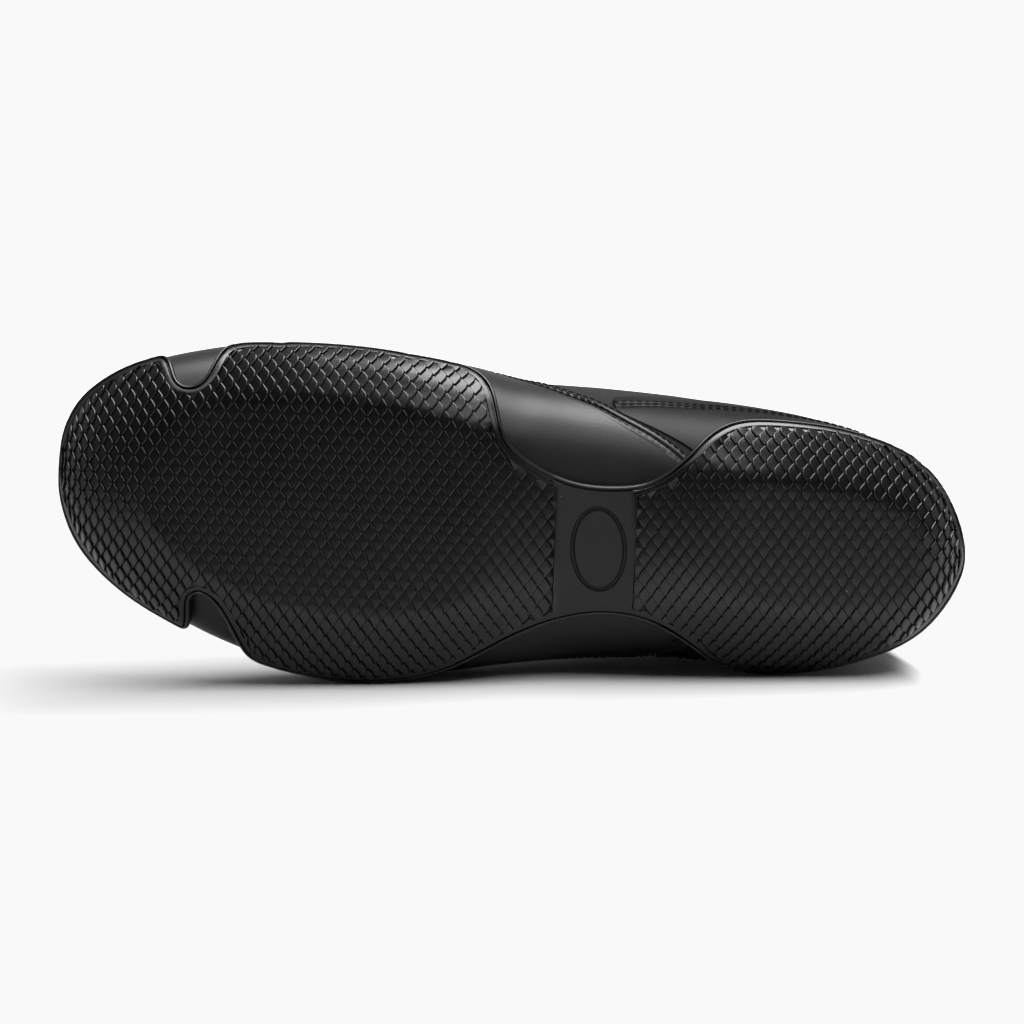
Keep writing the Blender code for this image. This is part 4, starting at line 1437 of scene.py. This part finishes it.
class SoleSettings(bpy.types.PropertyGroup):
    """Sizes of the tread."""
    lug_length: length_setting("Lug length", "Size of a lug along the shoe", 0.00437)
    lug_width: length_setting("Lug width", "Size of a lug across the shoe", 0.00597)
    lug_low: length_setting("Low corner", "Height of a lug's low corner", 0.00003)
    lug_high: length_setting("High corner", "Height of a lug's high corner", 0.0015)
    lug_round: length_setting("Edge rounding", "Rounding of a lug's top edges", 0.0005)
    lug_corner: length_setting("Corner rounding", "Rounding of a lug's high corner", 0.0014)


class UpperSettings(bpy.types.PropertyGroup):
    """Sizes of the upper, its panels and its sewing."""
    wall: length_setting("Wall", "Thickness of the upper's wall", 0.0022)
    panel_wall: length_setting("Panel wall", "Thickness of the leather panels", 0.0009)
    tongue_wall: length_setting("Tongue wall", "Thickness of the tongue", 0.003)
    insole_wall: length_setting("Insole wall", "Thickness of the insole", 0.004)
    stitch_pitch: length_setting("Stitch pitch", "Distance between stitches", 0.0025)
    stitch_length: length_setting("Stitch length", "Length of a stitch that shows", 0.0021)
    stitch_width: length_setting("Stitch width", "Thickness of the thread", 0.0006)
    lace_width: length_setting("Lace width", "Diameter of the lace", 0.0034)


class LooksSettings(bpy.types.PropertyGroup):
    """Colours and gloss of the finishes."""
    rubber: colour_setting("Rubber", "Colour of the outsole", (0.0034, 0.0037, 0.0042))
    rubber_gloss: share_setting("Rubber gloss", "Reflection level of the outsole", 0.34)
    waist_dull: share_setting("Waist dullness", "Added roughness of the waist panel", 0.26)
    dust: colour_setting("Dust", "Colour of the specks of dust", (0.2, 0.2, 0.2))
    leather: colour_setting("Leather", "Colour of the panels", (0.005, 0.005, 0.0052))
    leather_gloss: share_setting("Leather gloss", "Reflection level of the panels", 0.28)
    heel_gloss: share_setting("Heel gloss", "Reflection level of the heel panel", 0.1)
    textile: colour_setting("Textile", "Colour of the upper", (0.006, 0.006, 0.0063))
    insole: colour_setting("Insole", "Colour of the insole", (0.045, 0.045, 0.047))
    thread: colour_setting("Thread", "Colour of the stitches", (0.004, 0.004, 0.0041))
    cord: colour_setting("Cord", "Colour of the lace and eyelets", (0.008, 0.008, 0.0083))
    floor: colour_setting("Floor", "Colour of the floor", (0.85, 0.85, 0.855))


class StageSettings(bpy.types.PropertyGroup):
    """Camera and light."""
    azimuth: angle_setting("Azimuth", "Camera's turn round the shoe", math.radians(3.0))
    elevation: angle_setting("Elevation", "Camera's height angle", math.radians(7.0))
    roll: angle_setting("Roll", "Camera's roll", math.radians(-1.23))
    distance: length_setting("Distance", "From the camera to the sole", 1.1)
    focal: number_setting("Focal length", "In pixels of the photograph", 3549.0)
    middle: pixel_setting("Middle", "Pixel where the middle of the sole shows", (507.3, 526.9))
    strip: number_setting("Strip", "Power of the strip light that lights the floor, in watts", 84.0)
    strip_size: pair_setting("Strip size", "Length and width of the strip light", (4.0, 0.2))
    strip_place: place_setting("Strip place", "Middle of the strip light", (0.8, 0.18, 1.6))
    sheen: number_setting("Sheen", "Power of the panel that shows in the gloss, in watts", 120.0)
    sheen_size: pair_setting("Sheen size", "Length and width of the panel", (1.7, 1.2))
    sheen_place: place_setting("Sheen place", "Middle of the panel", (0.12, -0.25, 2.0))
    ridge: number_setting("Ridge", "Power of the front panel that shows in the ridges, in watts", 24.0)
    ridge_size: pair_setting("Ridge size", "Length and width of the front panel", (2.4, 0.8))
    ridge_place: place_setting("Ridge place", "Middle of the front panel", (0.1, -1.4, 1.5))
    backdrop: number_setting("Backdrop", "Brightness of the pale backdrop behind the shoe", 0.6)
    front: number_setting("Front", "Brightness of the dark room before the shoe", 0.02)
    white: number_setting("White", "Brightness of full white in the picture", 0.947)


# Operators

class SHOE_OT_outsole(bpy.types.Operator):
    """Model the rubber outsole with its rim, tread and waist panel"""
    bl_idname = "shoe.outsole"
    bl_label = "Outsole"

    def execute(self, context):
        target = SoleForm()
        shell = model_shell(target)
        lugs = [model_tread(shell, target, context.scene.shoe_sole, field) for field in FIELDS]
        oval = model_oval(target)
        for item in (shell, oval, *lugs):
            lay_on_form(item, target)
        cut_out(shell, oval)
        sole = join([shell, *lugs], "outsole_rubber")
        work_on(sole)
        bpy.ops.object.shade_smooth_by_angle(angle=math.radians(SOLE_CREASE))
        apply_modifier(sole, "WEIGHTED_NORMAL", weight=90, keep_sharp=True)
        finish_piece(sole, rubber_finish(context.scene.shoe_looks), "rubber", "outsole")
        return {"FINISHED"}


class SHOE_OT_upper(bpy.types.Operator):
    """Model the hollow textile boot"""
    bl_idname = "shoe.upper"
    bl_label = "Upper"

    def execute(self, context):
        sizes = context.scene.shoe_upper
        sides = []
        for side in SIDES:
            def place(along, across, side=side):
                station = along * COLLAR
                low, high = side_edges(station, side)
                return skin(station, low + across * (high - low))[0]
            half = draped_grid(*UPPER_GRID, place)
            face_outwards(half, side < 0)
            sides.append(half)
        upper = join(sides, "upper_textile")
        weld(upper)
        apply_modifier(upper, "SOLIDIFY", thickness=sizes.wall, offset=-1.0)
        round_edges(upper, sizes.wall / 3, 2, UPPER_ROUNDED_EDGE)
        drill = new_piece(
            bpy.ops.mesh.primitive_cylinder_add, vertices=20, radius=EYELET_HOLE, depth=4 * EYELET_HOLE)
        repeat_on_form(drill, eyelet_places(), "eyelet_drill")
        cut_out(upper, drill)
        finish = woven_finish(
            "black_textile", context.scene.shoe_looks.textile,
            threads_along=560.0, threads_across=300.0, depth=0.0003)
        finish_piece(upper, finish, "textile", "upper")
        return {"FINISHED"}


class SHOE_OT_panels(bpy.types.Operator):
    """Model both leather panels"""
    bl_idname = "shoe.panels"
    bl_label = "Leather panels"

    def execute(self, context):
        sizes = context.scene.shoe_upper
        wall = sizes.panel_wall / MM
        looks = context.scene.shoe_looks
        spans = {side: Bounds(*FRONT_PANEL_SPAN, side, None, FRONT_PANEL_EDGE) for side in SIDES}
        seams = {side: seam_line(side, FRONT_PANEL_EDGE, *FRONT_SEAM) for side in SIDES}
        lines = {side: [(seam[0], MARGIN_PROFILE)] for side, seam in seams.items()}
        front = panel_sheet("front_panel_leather", spans, lines, wall, FRONT_GRID, FRONT_FINE)
        leather = leather_finish("coated_black_leather", looks, looks.leather_gloss)
        finish_piece(front, leather, "leather", "front_panel")
        edges = (heel_panel_front(), HEEL_PANEL_TOP)
        spans = {side: Bounds(*HEEL_PANEL_SPAN, side, *edges) for side in SIDES}
        lines = {side: [(line[0], ROW_PROFILE) for line in heel_rows(side)] for side in SIDES}
        heel = panel_sheet("heel_panel_leather", spans, lines, wall, HEEL_GRID, HEEL_FINE)
        leather = leather_finish("heel_leather", looks, looks.heel_gloss)
        finish_piece(heel, leather, "leather", "heel_panel")
        return {"FINISHED"}


class SHOE_OT_inside(bpy.types.Operator):
    """Model the tongue and the insole"""
    bl_idname = "shoe.inside"
    bl_label = "Tongue and insole"

    def execute(self, context):
        sizes = context.scene.shoe_upper
        looks = context.scene.shoe_looks
        self.tongue(sizes, looks)
        self.insole(sizes, looks)
        return {"FINISHED"}

    def tongue(self, sizes, looks):
        """Padded strip under the throat, standing out over the collar."""
        lift = -sizes.wall / MM - TONGUE_GAP
        last = COLLAR + 1.0

        def place(along, across):
            station = TONGUE_FRONT + along * (last - TONGUE_FRONT)
            on_form = np.minimum(station, COLLAR)
            half = throat_half(np.maximum(on_form, THROAT_FRONT)) + TONGUE_SIDE
            half *= 1 - TONGUE_NARROWS * np.clip((along - TONGUE_END) / (1 - TONGUE_END), 0.0, 1.0) ** 3
            ridge = section_at(on_form).ridge
            inner = angle_at(on_form, ridge + half, True) % (2 * math.pi)
            outer = angle_at(on_form, ridge - half, True) % (2 * math.pi)
            angles = inner + across * (outer - inner)
            points, _ = skin(on_form, angles, lift)
            below, _ = skin(on_form - NUDGE, angles, lift)
            rise = points - below
            rise /= np.linalg.norm(rise, axis=1, keepdims=True)
            return points + rise * (np.maximum(station - COLLAR, 0.0) * TONGUE_OVER_COLLAR)[:, None]

        tongue = draped_grid(*TONGUE_GRID, place)
        apply_modifier(tongue, "SOLIDIFY", thickness=sizes.tongue_wall, offset=-1.0)
        round_edges(tongue, sizes.tongue_wall / 3, 3)
        tongue.name = "tongue_textile"
        finish = woven_finish(
            "tongue_textile", looks.textile, threads_along=260.0, threads_across=60.0, depth=0.0001)
        finish_piece(tongue, finish, "textile", "tongue")

    def insole(self, sizes, looks):
        """Pad on the lasted edge inside the boot."""
        lift = -sizes.wall / MM - INSOLE_GAP

        def place(along, across):
            station = INSOLE_FRONT + along * (INSOLE_BACK - INSOLE_FRONT)
            s = section_at(station)
            high = angle_at(station, s.ridge + (s.inner - s.ridge) * INSOLE_SHARE, False)
            low = angle_at(station, s.ridge + (s.outer - s.ridge) * INSOLE_SHARE, False)
            return skin(station, low + across * (high - low), lift)[0]

        insole = draped_grid(*INSOLE_GRID, place)
        apply_modifier(insole, "SOLIDIFY", thickness=sizes.insole_wall, offset=-1.0)
        round_edges(insole, sizes.insole_wall / 4, 3)
        insole.name = "insole_foam"
        finish = woven_finish(
            "brushed_insole", looks.insole, threads_along=500.0, threads_across=180.0, depth=0.00008)
        finish_piece(insole, finish, "foam", "insole")


class SHOE_OT_stitches(bpy.types.Operator):
    """Sew the panels along their seams"""
    bl_idname = "shoe.stitches"
    bl_label = "Stitches"

    def execute(self, context):
        sizes = context.scene.shoe_upper
        pitch = sizes.stitch_pitch / MM
        top = PANEL_GAP + sizes.panel_wall / MM
        rows = []
        for side in SIDES:
            seam = seam_line(side, FRONT_PANEL_EDGE, *FRONT_SEAM)
            for distance, lift in ((MARGIN_STITCH, top - MARGIN_SINK), (-STITCH_SINK, top - STITCH_SINK)):
                rows.append(stitch_places(beside(seam, -side * distance, lift), pitch))
            for line in heel_rows(side):
                places = stitch_places(beside(line, 0.0, top - STITCH_SINK), pitch)
                x, _, z = places[0].T
                behind = z > seam_height(FRONT_PANEL_EDGE, side, x) + ROW_CLEAR
                rows.append([column[behind] for column in places])
            rows.append(stitch_places(self.collar_row(side), pitch))
            rows.append(stitch_places(self.throat_row(side), pitch))
        stitches = sew("seam_stitches", rows, sizes)
        finish_piece(stitches, thread_finish(context.scene.shoe_looks), "cord")
        return {"FINISHED"}

    def collar_row(self, side):
        """Row under the edge of the collar."""
        low, high = side_edges(np.array(COLLAR_ROW), side)
        angles = np.linspace(low, high, SEAM_STEPS)
        return even_steps(*skin(np.full(SEAM_STEPS, COLLAR_ROW), angles))

    def throat_row(self, side):
        """Row beside the edge of the throat."""
        stations = np.linspace(THROAT_FRONT + THROAT_ROUNDING, COLLAR_ROW, SEAM_STEPS)
        y = section_at(stations).ridge + side * (throat_half(stations) + EDGE_ROW)
        return even_steps(*skin(stations, angle_at(stations, y, True)))


class SHOE_OT_lace(bpy.types.Operator):
    """Run the lace across the throat"""
    bl_idname = "shoe.lace"
    bl_label = "Lace"

    def execute(self, context):
        sizes = context.scene.shoe_upper
        radius = sizes.lace_width / MM / 2
        lift = PANEL_GAP + sizes.panel_wall / MM + LACE_GAP + radius
        ends = []
        for side in SIDES:
            points = self.run(side, lift)
            curve = bpy.data.curves.new("lace_line", "CURVE")
            curve.dimensions = "3D"
            spline = curve.splines.new("POLY")
            spline.points.add(len(points) - 1)
            for knot, place in zip(spline.points, to_world(points)):
                knot.co = (*place, 1.0)
            curve.bevel_depth = radius * MM
            curve.bevel_resolution = 3
            curve.use_fill_caps = True
            line = bpy.data.objects.new("lace_line", curve)
            context.scene.collection.objects.link(line)
            work_on(line)
            bpy.ops.object.convert(target="MESH")
            weld(context.object)
            ends.append(context.object)
        lace = join(ends, "lace_cord")
        finish_piece(lace, cord_finish(context.scene.shoe_looks), "cord", "lace")
        ring = new_piece(
            bpy.ops.mesh.primitive_torus_add, major_segments=24, minor_segments=8,
            major_radius=EYELET_RING, minor_radius=EYELET_BAR)
        rings = repeat_on_form(ring, eyelet_places(), "eyelet_rings")
        finish_piece(rings, cord_finish(context.scene.shoe_looks), "cord")
        return {"FINISHED"}

    def run(self, start_side, lift):
        """Middle line of one end of the lace, from side to side up the throat."""
        eyelets = eyelet_places()
        stops = []
        for number in range(EYELET_PAIRS):
            side = start_side if number % 2 == 0 else -start_side
            stops.append(np.array(eyelets[2 * number + (0 if side > 0 else 1)][:2]))
        bend = np.linspace(0.0, math.pi / 2, LACE_BEND_STEPS)
        line = []
        for start, end in zip(stops, stops[1:]):
            reach = LACE_DIVE / np.linalg.norm(skin(*end)[0] - skin(*start)[0])
            rise = reach * (1 - np.cos(bend))
            level = np.linspace(reach, 1 - reach, LACE_SPAN_STEPS)[1:-1]
            run = np.concatenate([rise, level, 1 - rise[::-1]])
            height = np.concatenate([np.sin(bend), np.ones_like(level), np.sin(bend)[::-1]])
            place = start + run[:, None] * (end - start)
            line.append(skin(place[:, 0], place[:, 1], height * (lift + EYELET_DEPTH) - EYELET_DEPTH)[0])
        return np.concatenate(line)


class SHOE_OT_stage(bpy.types.Operator):
    """Lay the floor, hang the light and set up the camera"""
    bl_idname = "shoe.stage"
    bl_label = "Stage"

    def execute(self, context):
        settings = context.scene.shoe_stage
        self.floor(context)
        self.light(context, settings)
        self.camera(context, settings)
        return {"FINISHED"}

    def floor(self, context):
        """Round floor under the shoe."""
        floor = new_piece(
            bpy.ops.mesh.primitive_circle_add, vertices=FLOOR_SIDES, radius=FLOOR_RADIUS, fill_type="NGON")
        with editing(floor):
            bpy.ops.mesh.inset(thickness=FLOOR_BORDER)
        floor.name = "studio_floor"
        floor.data.materials.append(floor_finish(context.scene.shoe_looks))
        floor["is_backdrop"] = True

    def hang(self, context, name, power, size, place):
        """Rectangular soft light aimed at the shoe."""
        lamp = bpy.data.lights.new(name, "AREA")
        lamp.shape = "RECTANGLE"
        lamp.energy = power
        lamp.size, lamp.size_y = size
        holder = bpy.data.objects.new(name, lamp)
        holder.location = place
        holder.rotation_euler = (-Vector(place)).to_track_quat("-Z", "Y").to_euler()
        context.scene.collection.objects.link(holder)
        return holder

    def light(self, context, settings):
        """Strip for the floor, panels for the gloss, pale backdrop behind and a dark room in front."""
        strip = self.hang(context, "strip_light", settings.strip, settings.strip_size, settings.strip_place)
        strip.visible_glossy = False
        sheen = self.hang(context, "sheen_panel", settings.sheen, settings.sheen_size, settings.sheen_place)
        sheen.visible_diffuse = False
        ridge = self.hang(context, "ridge_panel", settings.ridge, settings.ridge_size, settings.ridge_place)
        ridge.visible_diffuse = False
        world = bpy.data.worlds.new("studio")
        world.use_nodes = True
        nodes = world.node_tree.nodes
        links = world.node_tree.links
        direction = nodes.new("ShaderNodeTexCoord")
        parts = nodes.new("ShaderNodeSeparateXYZ")
        links.new(direction.outputs["Generated"], parts.inputs[0])
        room = nodes.new("ShaderNodeMapRange")
        room.interpolation_type = "SMOOTHSTEP"
        for socket, value in zip(room.inputs[1:5], (*BACKDROP_SPAN, settings.front, settings.backdrop)):
            socket.default_value = value
        links.new(parts.outputs["Y"], room.inputs[0])
        seen = nodes.new("ShaderNodeLightPath")
        strength = nodes.new("ShaderNodeMapRange")
        strength.inputs[4].default_value = BACKDROP_SEEN
        links.new(seen.outputs["Is Camera Ray"], strength.inputs[0])
        links.new(room.outputs[0], strength.inputs[3])
        links.new(strength.outputs[0], nodes["Background"].inputs["Strength"])
        nodes["Background"].inputs["Color"].default_value = (1.0, 1.0, 1.0, 1.0)
        context.scene.world = world
        view = context.scene.view_settings
        view.view_transform = "Standard"
        view.use_curve_mapping = True
        view.curve_mapping.extend = "HORIZONTAL"
        view.curve_mapping.curves[3].points[-1].location = (1.0, settings.white)
        view.curve_mapping.update()

    def camera(self, context, settings):
        """Camera at the photograph's angle to the sole, aimed so that it needs no shift."""
        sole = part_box("outsole")
        target = Vector(((sole[0][0] + sole[1][0]) / 2, CAMERA_Y, CAMERA_Z))
        a = settings.azimuth
        e = settings.elevation
        back = Vector((math.sin(a) * math.cos(e), -math.cos(a) * math.cos(e), math.sin(e)))
        place = target + back * settings.distance
        right = (-back).cross(Vector((0.0, 0.0, 1.0))).normalized()
        up = right.cross(-back)
        roll = settings.roll
        level, steep = right, up
        right = level * math.cos(roll) + steep * math.sin(roll)
        up = steep * math.cos(roll) - level * math.sin(roll)
        half = IMAGE_SIZE / 2
        sway = (half - settings.middle[0]) / settings.focal * settings.distance
        lift = (settings.middle[1] - half) / settings.focal * settings.distance
        ahead = (target + right * sway + up * lift - place).normalized()
        right = ahead.cross(up).normalized()
        up = right.cross(ahead)
        data = bpy.data.cameras.new("photo_camera")
        data.sensor_width = SENSOR_WIDTH
        data.lens = settings.focal * data.sensor_width / IMAGE_SIZE
        camera = bpy.data.objects.new("photo_camera", data)
        turn = Matrix((right, up, -ahead)).transposed().to_4x4()
        camera.matrix_world = Matrix.Translation(place) @ turn
        context.scene.collection.objects.link(camera)
        context.scene.camera = camera


class SHOE_PT_panel(bpy.types.Panel):
    """Sidebar panel with the pieces of the shoe"""
    bl_label = "Boxing Shoe"
    bl_space_type = "VIEW_3D"
    bl_region_type = "UI"
    bl_category = "Shoe"

    def draw(self, context):
        for operator in OPERATORS:
            self.layout.operator(operator.bl_idname)
        for group in (context.scene.shoe_sole, context.scene.shoe_upper,
                      context.scene.shoe_looks, context.scene.shoe_stage):
            for name in group.__annotations__:
                self.layout.prop(group, name)


SETTINGS = {
    "shoe_sole": SoleSettings,
    "shoe_upper": UpperSettings,
    "shoe_looks": LooksSettings,
    "shoe_stage": StageSettings,
}
OPERATORS = (
    SHOE_OT_stage, SHOE_OT_outsole, SHOE_OT_upper, SHOE_OT_panels, SHOE_OT_inside, SHOE_OT_stitches,
    SHOE_OT_lace)


def register():
    for item in (*SETTINGS.values(), *OPERATORS, SHOE_PT_panel):
        bpy.utils.register_class(item)
    for name, group in SETTINGS.items():
        setattr(bpy.types.Scene, name, PointerProperty(type=group))


def unregister():
    for name in SETTINGS:
        delattr(bpy.types.Scene, name)
    for item in reversed((*SETTINGS.values(), *OPERATORS, SHOE_PT_panel)):
        bpy.utils.unregister_class(item)


def main():
    register()
    bpy.ops.shoe.stage()
    bpy.ops.shoe.outsole()
    bpy.ops.shoe.upper()
    bpy.ops.shoe.panels()
    bpy.ops.shoe.inside()
    bpy.ops.shoe.stitches()
    bpy.ops.shoe.lace()
    boxes = {"cad": cad_box, "visual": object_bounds()}
    sizes = {name: [list(corner) for corner in box] for name, box in boxes.items()}


if __name__ == "__main__":
    main()
